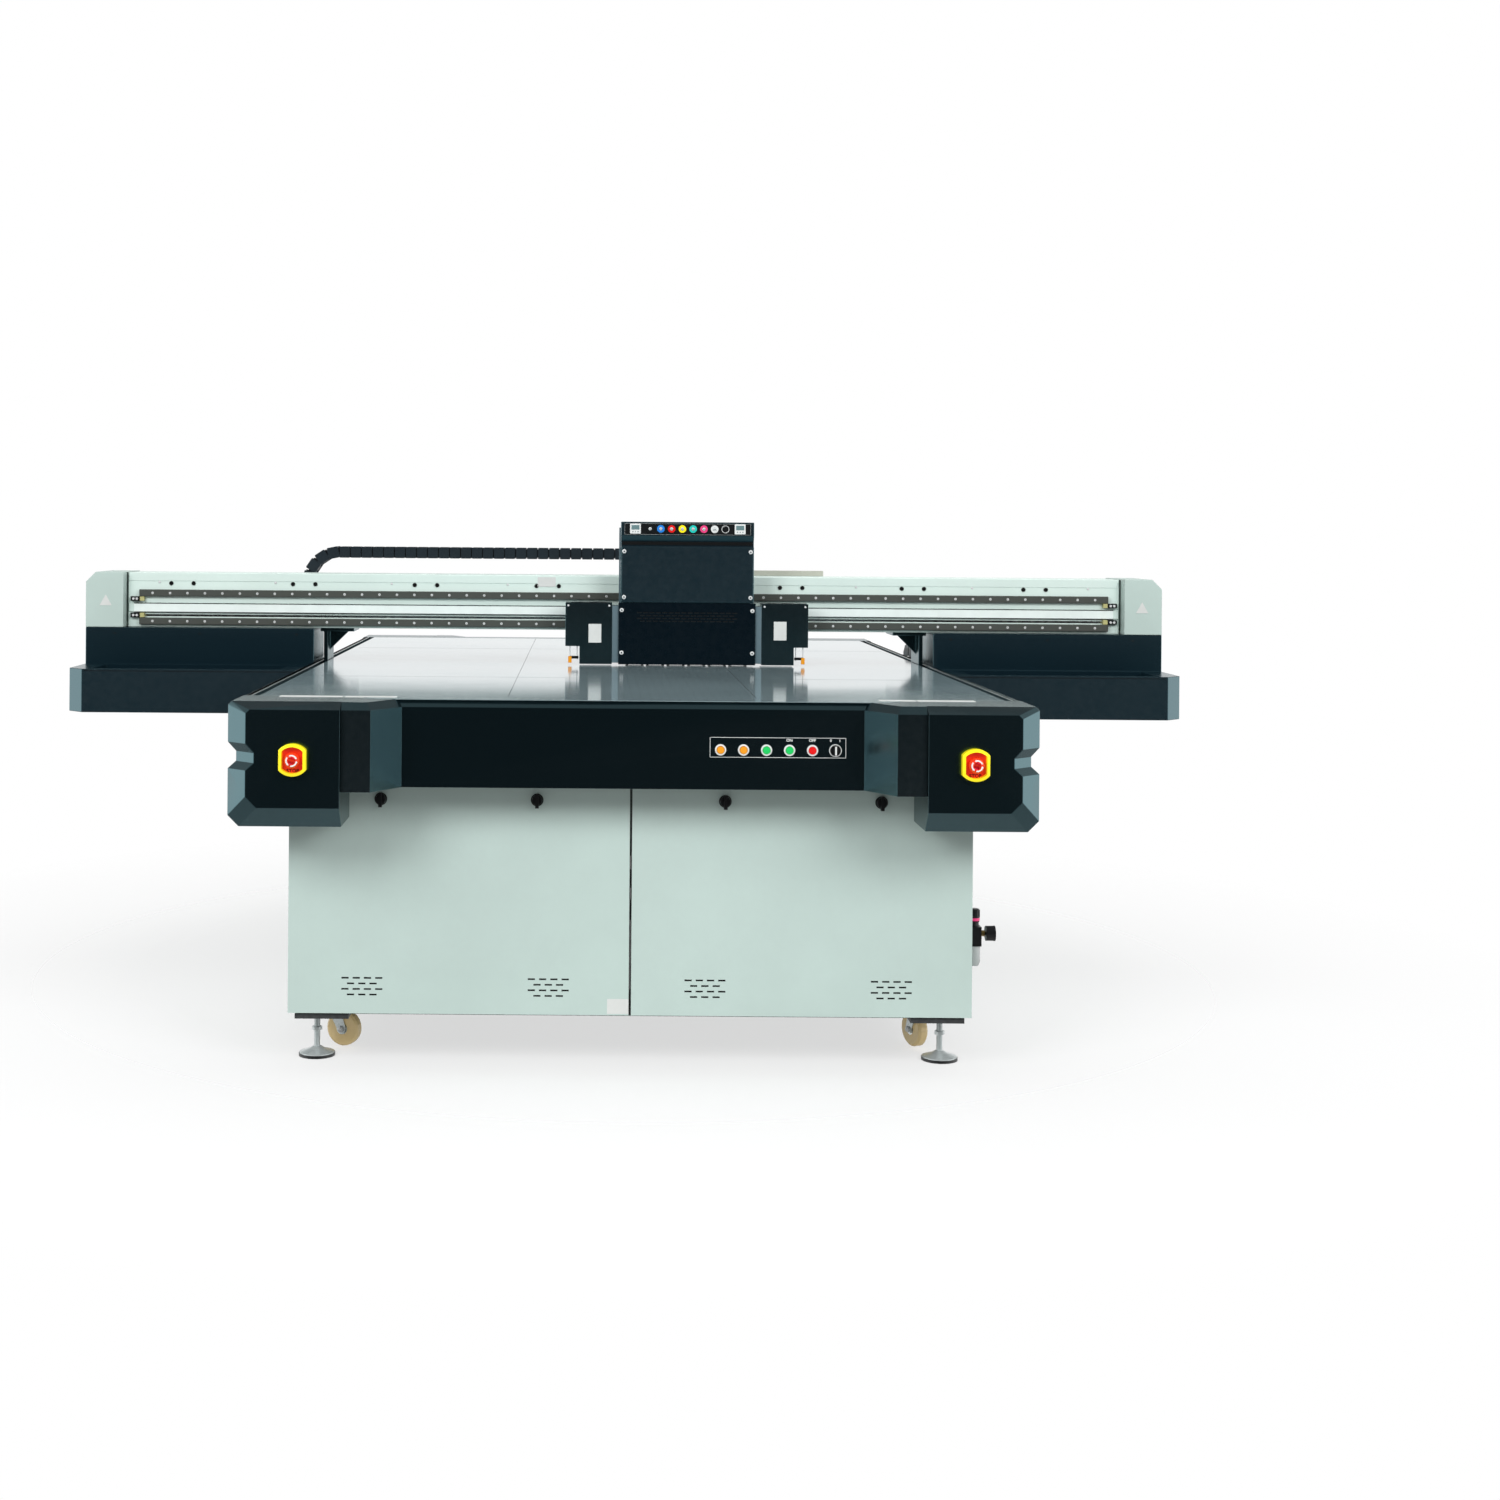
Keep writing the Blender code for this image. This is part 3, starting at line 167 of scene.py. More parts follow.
class Effect:
    """A shared node group that is built once and used by many materials."""

    _built: dict[str, Tree] = {}

    def __init__(self, name: str, inputs: dict[str, float], normal: bool = False) -> None:
        """Starts a group with its sockets.

        Args:
            name: The group's name.
            inputs: Float inputs and their defaults.
            normal: Whether it gives a normal beside its mask.
        """
        self.tree = bpy.data.node_groups.new(name, "ShaderNodeTree")
        new = self.tree.interface.new_socket
        for label, value in inputs.items():
            new(name=label, in_out="INPUT", socket_type="NodeSocketFloat").default_value = value
        new(name="Mask", in_out="OUTPUT", socket_type="NodeSocketFloat")
        if normal:
            new(name="Normal", in_out="OUTPUT", socket_type="NodeSocketVector")
        self.given = self.tree.nodes.new("NodeGroupInput").outputs
        self.results = self.tree.nodes.new("NodeGroupOutput").inputs

    def place(self) -> Socket:
        """Adds the object's own coordinates."""
        return add_node(self.tree, "TexCoord").outputs["Object"]

    def noise(self, place: Socket, scale: object, detail: float, roughness: float = 0.5) -> Socket:
        """Adds a noise texture.

        Args:
            place: The coordinates' socket.
            scale: Its scale, as a constant or a socket.
            detail: Its number of octaves.
            roughness: How strong the fine octaves are.

        Returns:
            The socket of its value.
        """
        links = {"Vector": place, "Scale": scale, "Detail": detail, "Roughness": roughness}
        return add_node(self.tree, "TexNoise", links).outputs["Fac"]

    def give(self, *results: Socket) -> Tree:
        """Links results to the group's outputs, in order, and gives the group."""
        for index, socket in enumerate(results):
            self.tree.links.new(socket, self.results[index])
        return self.tree

    @classmethod
    def shared(cls, name: str) -> Tree:
        """Finds or builds the group that EFFECTS lists under a name."""
        if name not in cls._built:
            cls._built[name] = EFFECTS[name]()
        return cls._built[name]


def relief(name: str, scale: float, detail: float, depth: float,
           stretch: Point | None = None) -> Tree:
    """Builds fine relief from noise.

    Args:
        name: The group's name.
        scale: The noise's scale, unless the material sets another.
        detail: Its number of octaves.
        depth: The relief's depth in metres.
        stretch: Shares that stretch the noise into lines.

    Returns:
        The group, with a mask and a normal.
    """
    group = Effect(name, {"Scale": scale, "Strength": 0.1}, normal=True)
    place = group.place()
    if stretch:
        links = {"Vector": place, "Scale": stretch}
        place = add_node(group.tree, "Mapping", links).outputs["Vector"]
    noise = group.noise(place, group.given["Scale"], detail)
    bump = add_node(group.tree, "Bump", {"Height": noise, "Strength": group.given["Strength"],
                                         "Distance": depth})
    return group.give(noise, bump.outputs["Normal"])


def clouds() -> Tree:
    """Builds broad soft variation, for uneven colour and handling marks.

    Returns:
        The group, with a mask.
    """
    group = Effect("soft_clouds", {"Scale": 3.0})
    noise = group.noise(group.place(), group.given["Scale"], 5.0, 0.6)
    return group.give(add_range(group.tree, noise, (0.3, 0.7)))


def edge_wear() -> Tree:
    """Builds the worn paint along convex edges.

    Returns:
        The group, with a mask.
    """
    group = Effect("edge_wear", {"Amount": 0.5})
    shape = add_node(group.tree, "NewGeometry")
    edge = add_range(group.tree, shape.outputs["Pointiness"], (0.52, 0.60))
    broken = add_math(group.tree, "MULTIPLY", edge, group.noise(group.place(), 60.0, 6.0))
    return group.give(add_math(group.tree, "MULTIPLY", broken, group.given["Amount"], clamp=True))


def settled_dust() -> Tree:
    """Builds a thin dust on faces that look up.

    Returns:
        The group, with a mask.
    """
    group = Effect("settled_dust", {"Amount": 0.1})
    shape = add_node(group.tree, "NewGeometry").outputs
    split = add_node(group.tree, "SeparateXYZ", {"Vector": shape["Normal"]})
    up = add_range(group.tree, split.outputs["Z"], (0.4, 1.0))
    mixed = add_math(group.tree, "MULTIPLY", up, group.noise(shape["Position"], 18.0, 6.0))
    return group.give(add_math(group.tree, "MULTIPLY", mixed, group.given["Amount"]))


def hole_grid() -> Tree:
    """Builds a square grid of small round holes in the XY plane.

    Returns:
        The group, with a mask that is 1 in a hole.
    """
    group = Effect("hole_grid", {"Pitch": 0.02, "Radius": 0.0012})
    tree, pitch = group.tree, group.given["Pitch"]
    split = add_node(tree, "SeparateXYZ", {"Vector": group.place()}).outputs
    near = [add_math(tree, "PINGPONG", split[letter], pitch) for letter in "XY"]
    total = add_math(tree, "ADD", *(add_math(tree, "POWER", value, 2.0) for value in near))
    distance = add_math(tree, "SQRT", total)
    return group.give(add_math(tree, "LESS_THAN", distance, group.given["Radius"]))


EFFECTS: dict[str, Callable[[], Tree]] = {
    "grain": lambda: relief("fine_grain", 900.0, 3.0, 0.00025),
    "brushed": lambda: relief("brushed_lines", 40.0, 4.0, 0.0004, (0.6, 30.0, 30.0)),
    "clouds": clouds,
    "wear": edge_wear,
    "dust": settled_dust,
    "holes": hole_grid,
}


# Finishes


def dimmed(colour: Colour, share: float) -> Colour:
    """Scales a colour's brightness."""
    return tuple(channel * share for channel in colour)


class Shader:
    """A material under construction: its tree, its Principled node and mixing helpers."""

    def __init__(self, name: str) -> None:
        """Makes an empty material with a name."""
        self.material = bpy.data.materials.new(name)
        self.material.use_nodes = True
        self.tree = self.material.node_tree
        self.surface = self.tree.nodes["Principled BSDF"]

    def effect(self, name: str, **values: float) -> bpy.types.bpy_prop_collection:
        """Adds a shared effect with its inputs set, and gives its outputs."""
        return add_node(self.tree, "Group", values, node_tree=Effect.shared(name)).outputs

    def mix(self, mask: Socket, first: object, second: object) -> Socket:
        """Mixes two colours by a mask.

        Args:
            mask: The socket that drives the mix.
            first: A colour, or a socket, shown where the mask is 0.
            second: A colour, or a socket, shown where the mask is 1.

        Returns:
            The mixed colour's socket.
        """
        sides = [side if isinstance(side, Socket) else (*side, 1.0) for side in (first, second)]
        links = {0: mask, 6: sides[0], 7: sides[1]}
        return add_node(self.tree, "Mix", links, data_type="RGBA").outputs[2]

    def span(self, mask: Socket, low: float, high: float) -> Socket:
        """Maps a mask to a range."""
        return add_range(self.tree, mask, (0.0, 1.0), (low, high))

    def set(self, **inputs: object) -> Material:
        """Sets inputs of the Principled node.

        Args:
            inputs: Input names, spaces as underscores, with a constant or a socket each.

        Returns:
            The material.
        """
        for key, value in inputs.items():
            socket = self.surface.inputs[key.replace("_", " ")]
            if isinstance(value, Socket):
                self.tree.links.new(value, socket)
            else:
                socket.default_value = value
        return self.material


@dataclass(frozen=True)
class PowderCoat:
    """Baked powder paint with a fine orange peel, a little edge wear and dust."""

    name: str
    colour: Colour
    roughness: float = 0.42
    grain: float = 0.25
    scale: float = 700.0
    wear: float = 0.35
    dust: float = 0.05
    specular: float = 0.5
    sheen_tint: Colour = (1.0, 1.0, 1.0)
    ior: float = 1.5
    bare: Colour = (0.42, 0.44, 0.45)
    dust_colour: Colour = (0.5, 0.5, 0.47)

    def build(self) -> Material:
        """Builds the material.

        Returns:
            The material.
        """
        s = Shader(self.name)
        grain = s.effect("grain", Scale=self.scale, Strength=self.grain)
        cloud = s.effect("clouds", Scale=2.5)["Mask"]
        wear, dust = s.effect("wear", Amount=self.wear), s.effect("dust", Amount=self.dust)
        base = s.mix(cloud, dimmed(self.colour, 0.94), dimmed(self.colour, 1.03))
        worn = s.mix(wear["Mask"], base, self.bare)
        rough = s.span(grain["Mask"], self.roughness - 0.03, self.roughness + 0.03)
        return s.set(Base_Color=s.mix(dust["Mask"], worn, self.dust_colour), IOR=self.ior,
                     Specular_IOR_Level=self.specular, Specular_Tint=(*self.sheen_tint, 1.0),
                     Roughness=rough, Normal=grain["Normal"])


@dataclass(frozen=True)
class Metal:
    """Bare or plated metal with fine lines and uneven sheen."""

    name: str
    colour: Colour
    roughness: float = 0.3
    lines: float = 0.15
    metallic: float = 1.0
    scale: float = 40.0

    def build(self) -> Material:
        """Builds the material.

        Returns:
            The material.
        """
        s = Shader(self.name)
        lines = s.effect("brushed", Scale=self.scale, Strength=self.lines)
        base = s.mix(s.effect("clouds", Scale=9.0)["Mask"], dimmed(self.colour, 0.86), self.colour)
        rough = s.span(lines["Mask"], self.roughness * 0.75, self.roughness * 1.3)
        return s.set(Base_Color=s.mix(lines["Mask"], base, dimmed(self.colour, 0.9)),
                     Metallic=self.metallic, Roughness=rough, Normal=lines["Normal"])


@dataclass(frozen=True)
class Moulded:
    """Moulded plastic, from matt and grained to clear and glossy, with an optional emission that is
    painted light on parts which are no lamps.
    """

    name: str
    colour: Colour
    roughness: float = 0.4
    grain: float = 0.1
    clear: float = 0.0
    painted_glow: float = 0.0

    def build(self) -> Material:
        """Builds the material.

        Returns:
            The material.
        """
        s = Shader(self.name)
        grain = s.effect("grain", Scale=1400.0, Strength=self.grain)
        base = s.mix(s.effect("clouds", Scale=14.0)["Mask"], dimmed(self.colour, 0.9), self.colour)
        rough = s.span(grain["Mask"], self.roughness * 0.85, self.roughness * 1.15)
        # painted light: this emission makes the plastic look brighter, though the part is no lamp
        if self.painted_glow:
            s.set(Emission_Color=(*self.colour, 1.0), Emission_Strength=self.painted_glow)
        return s.set(Base_Color=base, Roughness=rough, Normal=grain["Normal"], Coat_Weight=0.15,
                     Transmission_Weight=self.clear)


@dataclass(frozen=True)
class VacuumSkin:
    """The table's anodised skin: polished, with fine suction holes as near-black dots of painted
    shade, and wiping marks.
    """

    name: str = "vacuum_skin"
    colour: Colour = (0.28, 0.375, 0.40)
    # painted shade: the near-black of the inside of each suction hole
    hole: Colour = (0.02, 0.022, 0.025)
    hole_pitch: float = 0.0125
    hole_radius: float = 0.0016

    def build(self) -> Material:
        """Builds the material.

        Returns:
            The material.
        """
        s = Shader(self.name)
        holes = s.effect("holes", Pitch=self.hole_pitch, Radius=self.hole_radius)["Mask"]
        lines = s.effect("brushed", Scale=14.0, Strength=0.015)
        cloud = s.effect("clouds", Scale=1.6)["Mask"]
        skin = s.mix(cloud, dimmed(self.colour, 0.85), self.colour)
        # painted shade: the hole mask puts near-black dots on the skin in place of real holes
        return s.set(Base_Color=s.mix(holes, skin, self.hole), Metallic=0.15, IOR=1.62,
                     Roughness=s.span(cloud, 0.07, 0.13), Normal=lines["Normal"])


BLUISH = ((0.48, 0.90, 1.0), 1.8)


class Finish(Enum):
    """Every finish on the machine."""

    GREY = PowderCoat("grey_powder_coat", (0.53, 0.655, 0.612), 0.48, 0.10, 620.0, 0.15, 0.02, 0.35)
    BEAM = PowderCoat("beam_paint", (0.73, 0.87, 0.815), 0.40, 0.06, 900.0, 0.15, 0.03, 0.5)
    BEIGE = PowderCoat("beige_paint", (0.50, 0.50, 0.43), 0.45, 0.08, 700.0, 0.15, 0.03, 0.4)
    BLACK = PowderCoat("black_powder_coat", (0.0014, 0.0034, 0.0048), 0.23, 0.05, 900.0, 0.06,
                       0.001, 0.90, *BLUISH)
    HOOD = PowderCoat("hood_powder_coat", (0.0046, 0.0136, 0.0205), 0.24, 0.05, 900.0, 0.06,
                      0.001, 0.80, *BLUISH)
    APRON = PowderCoat("apron_powder_coat", (0.0006, 0.0040, 0.0078), 0.22, 0.03, 900.0, 0.02,
                       0.0, 0.30, (0.5, 0.9, 1.0))
    STRIP = PowderCoat("blue_grey_strip", (0.11, 0.17, 0.20), 0.34, 0.06, 900.0, 0.2, 0.01)
    FRAME = PowderCoat("frame_primer", (0.012, 0.013, 0.014), 0.5, 0.12, 700.0, 0.3, 0.03, 0.4)
    CHAMBER = PowderCoat("dark_housing", (0.05, 0.055, 0.058), 0.45, 0.1, 700.0, 0.3, 0.05, 0.4)
    TABLE = VacuumSkin()
    ALUMINIUM = Metal("machined_aluminium", (0.62, 0.65, 0.66), 0.34, 0.2)
    RAIL = Metal("ground_rail", (0.090, 0.098, 0.088), 0.34, 0.08, 0.1)
    STEEL = Metal("zinc_plated_steel", (0.70, 0.76, 0.76), 0.26, 0.06, 0.45, 90.0)
    BRIGHT = Metal("bright_rim", (0.70, 0.74, 0.74), 0.25, 0.12)
    SCREW = Metal("screw_steel", (0.80, 0.82, 0.82), 0.30, 0.05, 0.10)
    BRASS = Metal("brass_fitting", (0.62, 0.44, 0.16), 0.28, 0.08)
    # the last number of BELT, NYLON and the coloured plastics is an emission strength, painted
    # light on parts that are no lamps
    BELT = Moulded("white_belt", (0.86, 0.95, 0.92), 0.30, 0.02, 0.0, 0.06)
    PLASTIC = Moulded("black_moulded_plastic", (0.007, 0.008, 0.009), 0.40, 0.1)
    CHAIN = Moulded("chain_plastic", (0.013, 0.020, 0.027), 0.40, 0.08)
    # near-black in two uses: painted shade in holes, slots, vents, grooves and gaps between chain
    # links, and the real black of gaskets, seams, guards and letters
    HOLLOW = Moulded("recess_shade_and_black", (0.003, 0.003, 0.0035), 0.8, 0.1)
    NYLON = Moulded("cast_nylon", (0.86, 0.66, 0.33), 0.30, 0.05, 0.0, 0.08)
    LABEL = Moulded("blank_label", (0.74, 0.76, 0.74), 0.38, 0.03)
    WHITE = Moulded("white_plastic", (0.85, 0.87, 0.86), 0.3, 0.04)
    SCREEN = Moulded("grey_display", (0.16, 0.26, 0.27), 0.12, 0.0)
    RED = Moulded("red_button", (0.78, 0.012, 0.012), 0.22, 0.05, 0.0, 0.10)
    HUB_RED = Moulded("stop_red", (0.80, 0.035, 0.010), 0.28, 0.08, 0.0, 0.12)
    CROWN = Moulded("stop_crown", (0.78, 0.02, 0.06), 0.25, 0.05, 0.0, 0.12)
    GREEN = Moulded("green_button", (0.02, 0.56, 0.12), 0.2, 0.04, 0.0, 0.15)
    ORANGE = Moulded("orange_button", (0.85, 0.33, 0.02), 0.2, 0.04, 0.0, 0.10)
    YELLOW = Moulded("yellow_shroud", (0.95, 0.80, 0.01), 0.35, 0.06, 0.0, 0.22)
    BUMPER = Moulded("yellow_rubber", (0.52, 0.50, 0.22), 0.55, 0.15)
    BLUE = Moulded("blue_cap", (0.02, 0.22, 0.72), 0.25, 0.04, 0.0, 0.15)
    CYAN = Moulded("cyan_cap", (0.02, 0.58, 0.50), 0.25, 0.04, 0.0, 0.15)
    PINK = Moulded("pink_cap", (0.82, 0.06, 0.22), 0.25, 0.04, 0.0, 0.15)
    BOWL = Moulded("clear_bowl", (0.80, 0.86, 0.85), 0.10, 0.0, 0.35)

    def material(self) -> Material:
        """Finds or builds the material."""
        return bpy.data.materials.get(self.value.name) or self.value.build()

    def slot(self) -> str:
        """Names the record's material slot that detail in this finish belongs to."""
        return next((slot for slot, members in SLOTS.items() if self in members), "black_plastic")


SLOTS = {
    "grey_paint": (Finish.GREY, Finish.BEAM, Finish.BEIGE, Finish.BELT, Finish.LABEL, Finish.WHITE),
    "black_paint": (Finish.BLACK, Finish.HOOD),
    "steel": (Finish.STEEL, Finish.SCREW, Finish.RAIL, Finish.BRASS),
    "aluminium": (Finish.BRIGHT, Finish.TABLE),
    "red_plastic": (Finish.HUB_RED, Finish.CROWN, Finish.PINK),
    "amber_plastic": (Finish.YELLOW, Finish.ORANGE),
}


# Mesh pieces


class Box:
    """A CAD node's box, with short names for its limits and its middle."""

    def __init__(self, node: str) -> None:
        """Reads the box of a node."""
        low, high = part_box(node)
        self.x0, self.y0, self.z0 = low
        self.x1, self.y1, self.z1 = high
        self.x, self.y, self.z = ((a + b) / 2 for a, b in zip(low, high))

    def edge(self, side: int) -> float:
        """Gives X at the left end for -1, and at the right end for 1."""
        return self.x1 if side > 0 else self.x0


class Piece:
    """One mesh piece of detail, built from closed forms and then placed on a body."""

    def __init__(self, name: str, finish: Finish, slot: str = "") -> None:
        """Starts an empty piece.

        Args:
            name: The piece's name.
            finish: Its finish.
            slot: The record's material slot, if it isn't the finish's usual one.
        """
        self.name, self.finish, self.slot = name, finish, slot or finish.slot()
        self.bm = bmesh.new()

    def skin(self, rings: list[list[Iterable[float]]], closed: bool = False) -> "Piece":
        """Joins rings of points with faces.

        Args:
            rings: Rings with the same number of points each.
            closed: Whether the last ring meets the first, in place of flat ends.

        Returns:
            This piece.
        """
        made = [[self.bm.verts.new(point) for point in ring] for ring in rings]
        if not closed:
            self.bm.faces.new(made[0])
            self.bm.faces.new(made[-1])
        for a, b in zip(made, made[1:] + (made[:1] if closed else [])):
            for i, _ in enumerate(a):
                j = (i + 1) % len(a)
                self.bm.faces.new((a[i], a[j], b[j], b[i]))
        return self

    def prism(self, outline: Sequence[Pair], axis: Axis, low: float, high: float) -> "Piece":
        """Adds an extruded outline.

        Args:
            outline: Points in the two other coordinates, in X, Y, Z order.
            axis: The axis of the extrusion.
            low: Where it starts on the axis.
            high: Where it ends.

        Returns:
            This piece.
        """
        index = list(Axis).index(axis)
        return self.skin([[(*point[:index], place, *point[index:]) for point in outline]
                          for place in (low, high)])

    def box(self, first: Point, second: Point) -> "Piece":
        """Adds a box between two opposite corners."""
        (x0, x1), (y0, y1), (z0, z1) = (sorted(pair) for pair in zip(first, second))
        return self.prism([(x0, y0), (x1, y0), (x1, y1), (x0, y1)], Axis.Z, z0, z1)

    def tile(self, x: float, z: float, half: Pair, front: float, back: float) -> "Piece":
        """Adds a box that faces the front.

        Args:
            x: Its middle.
            z: Its middle height.
            half: Half its width and half its height.
            front: Y of its front.
            back: Y of its back.

        Returns:
            This piece.
        """
        return self.box((x - half[0], front, z - half[1]), (x + half[0], back, z + half[1]))

    def turned(self, profile: Sequence[Pair], centre: Point, axis: Axis, steps: int = 24,
               closed: bool = False) -> "Piece":
        """Adds a round form.

        Args:
            profile: Pairs of radius and height along the axis.
            centre: The point where the height is 0.
            axis: The axis of the form.
            steps: Facets round it.
            closed: Whether the profile's end meets its start.

        Returns:
            This piece.
        """
        turn, centre = axis.turn(), Vector(centre)
        angles = [2 * math.pi * i / steps for i in range(steps)]
        rings = [[Vector((radius * math.cos(a), radius * math.sin(a), height)) for a in angles]
                 for radius, height in profile]
        return self.skin([[turn @ point + centre for point in ring] for ring in rings], closed)

    def ring(self, centre: Point, axis: Axis, radii: Pair, heights: Pair,
             steps: int = 32) -> "Piece":
        """Adds a flat ring of rectangular section.

        Args:
            centre: The point where the height is 0.
            axis: The ring's axis.
            radii: Its inner and its outer radius.
            heights: Its lowest and its highest height.
            steps: Facets round it.

        Returns:
            This piece.
        """
        (inner, outer), (low, high) = radii, heights
        profile = [(inner, low), (outer, low), (outer, high), (inner, high)]
        return self.turned(profile, centre, axis, steps, closed=True)

    def stud(self, centre: Point, axis: Axis, radius: float, reach: float) -> "Piece":
        """Adds a screw's flat head, which reaches as far out as it reaches in."""
        return self.turned([(radius, -reach), (radius, reach)], centre, axis, 14)

    def place(self, body: str, bevel: float = 0.0, smooth: bool = True) -> bpy.types.Object:
        """Makes the object and puts it on its body.

        Args:
            body: The body that it rides on.
            bevel: Width of the rounding of its edges, in metres.
            smooth: Whether its gentle angles are shaded smooth.

        Returns:
            The object.
        """
        bmesh.ops.recalc_face_normals(self.bm, faces=self.bm.faces)
        mesh = bpy.data.meshes.new(self.name)
        self.bm.to_mesh(mesh)
        self.bm.free()
        mesh.materials.append(self.finish.material())
        if smooth:
            mesh.shade_smooth()
            mesh.set_sharp_from_angle(angle=math.radians(38))
        made = bpy.data.objects.new(self.name, mesh)
        bpy.context.scene.collection.objects.link(made)
        if bevel:
            soften(made, bevel)
        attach(made, body)
        return made


def place_all(body: str, *pieces: Piece) -> None:
    """Puts pieces without rounded edges on one body."""
    for piece in pieces:
        piece.place(body)


def soften(thing: bpy.types.Object, width: float, angle: float = 35.0) -> None:
    """Rounds an object's sharp edges so that they catch the light.

    Args:
        thing: The object.
        width: The rounding's width in metres.
        angle: Edges sharper than this many degrees are rounded.
    """
    weld = thing.modifiers.new("weld", "WELD")
    weld.merge_threshold = 0.00001
    bevel = thing.modifiers.new("rounding", "BEVEL")
    bevel.width, bevel.segments = width, 2
    bevel.limit_method, bevel.angle_limit = "ANGLE", math.radians(angle)
    bevel.use_clamp_overlap, bevel.harden_normals = True, True


def words(name: str, text: str, size: float, place: Point, finish: Finish,
          spacing: float = 1.0) -> None:
    """Writes a generic word on the base that faces the operator.

    Args:
        name: The piece's name.
        text: The word.
        size: Height of the letters in metres.
        place: Where its middle is.
        finish: The colour of the letters.
        spacing: The letters' spacing, as a share of the usual one.
    """
    curve = bpy.data.curves.new(name, "FONT")
    curve.body, curve.size, curve.extrude, curve.offset = text, size, 0.00015, size * 0.022
    curve.align_x, curve.align_y, curve.space_character = "CENTER", "CENTER", spacing
    curve.materials.append(finish.material())
    made = bpy.data.objects.new(name, curve)
    made.location, made.rotation_euler = place, (UPRIGHT, 0, 0)
    bpy.context.scene.collection.objects.link(made)
    finish.slot()
    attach(made, Body.BASE)


# Sub-assemblies


NODE_FINISHES = (
    (Finish.FRAME, ("base_frame",)),
    (Finish.HOOD, ("head_hood", "station")),
    (Finish.APRON, ("head_apron",)),
    (Finish.TABLE, ("vacuum_table",)),
    (Finish.ALUMINIUM, ("x_slide",)),
    (Finish.STRIP, ("head_frame",)),
    (Finish.CHAMBER, ("vacuum_blower",)),
    (Finish.BEAM, ("gantry_beam",)),
    (Finish.ORANGE, ("push_button_1", "push_button_2")),
    (Finish.GREEN, ("push_button_3", "push_button_4")),
    (Finish.RED, ("push_button_5",)),
    (Finish.HUB_RED, ("stop_button",)),
    (Finish.RAIL, ("x_rail", "y_rail")),
    (Finish.CHAIN, ("x_cable", "y_cable")),
    (Finish.PLASTIC, ("front_panel_left_latch", "front_panel_right_latch", "key_switch",
                      "air_regulator", "regulator_knob")),
    (Finish.GREY, ("front_panel", "side_panel", "rear_panel", "end_cover", "control_cabinet")),
    (Finish.STEEL, ("levelling_foot",)),
)


@dataclass
class CarriedFinishes:
    """Finishes and softened edges for the nodes of the frame."""

    edge: float = 0.0022
    fine_edge: float = 0.0009
    small_node: float = 0.12
    shallow_angle: float = 14.0
    pierced: tuple[str, ...] = ("front_panel_left", "front_panel_right")
    faceted: tuple[str, ...] = ("front_fascia", "rear_cover", "corner_cover_left",
                                "corner_cover_right")

    def finish_of(self, node: str) -> Finish:
        """Chooses a node's finish.

        Args:
            node: The node's name.

        Returns:
            The finish.
        """
        for finish, starts in NODE_FINISHES:
            if node.startswith(starts):
                return finish
        if node.endswith("_fork"):
            return Finish.STEEL
        return Finish.NYLON if node.endswith("_wheel") else Finish.BLACK

    def build(self) -> None:
        """Gives every node its finish, and every node but the pierced panels its rounded edges."""
        for node, thing in frame["nodes"].items():
            material = self.finish_of(node).material()
            if not thing.material_slots:
                thing.data.materials.append(material)
            for slot in thing.material_slots:
                slot.material = material
            if node in self.pierced:
                continue
            small = max(b - a for a, b in zip(*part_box(node))) < self.small_node
            soften(thing, self.fine_edge if small else self.edge,
                   self.shallow_angle if node in self.faceted else 35.0)


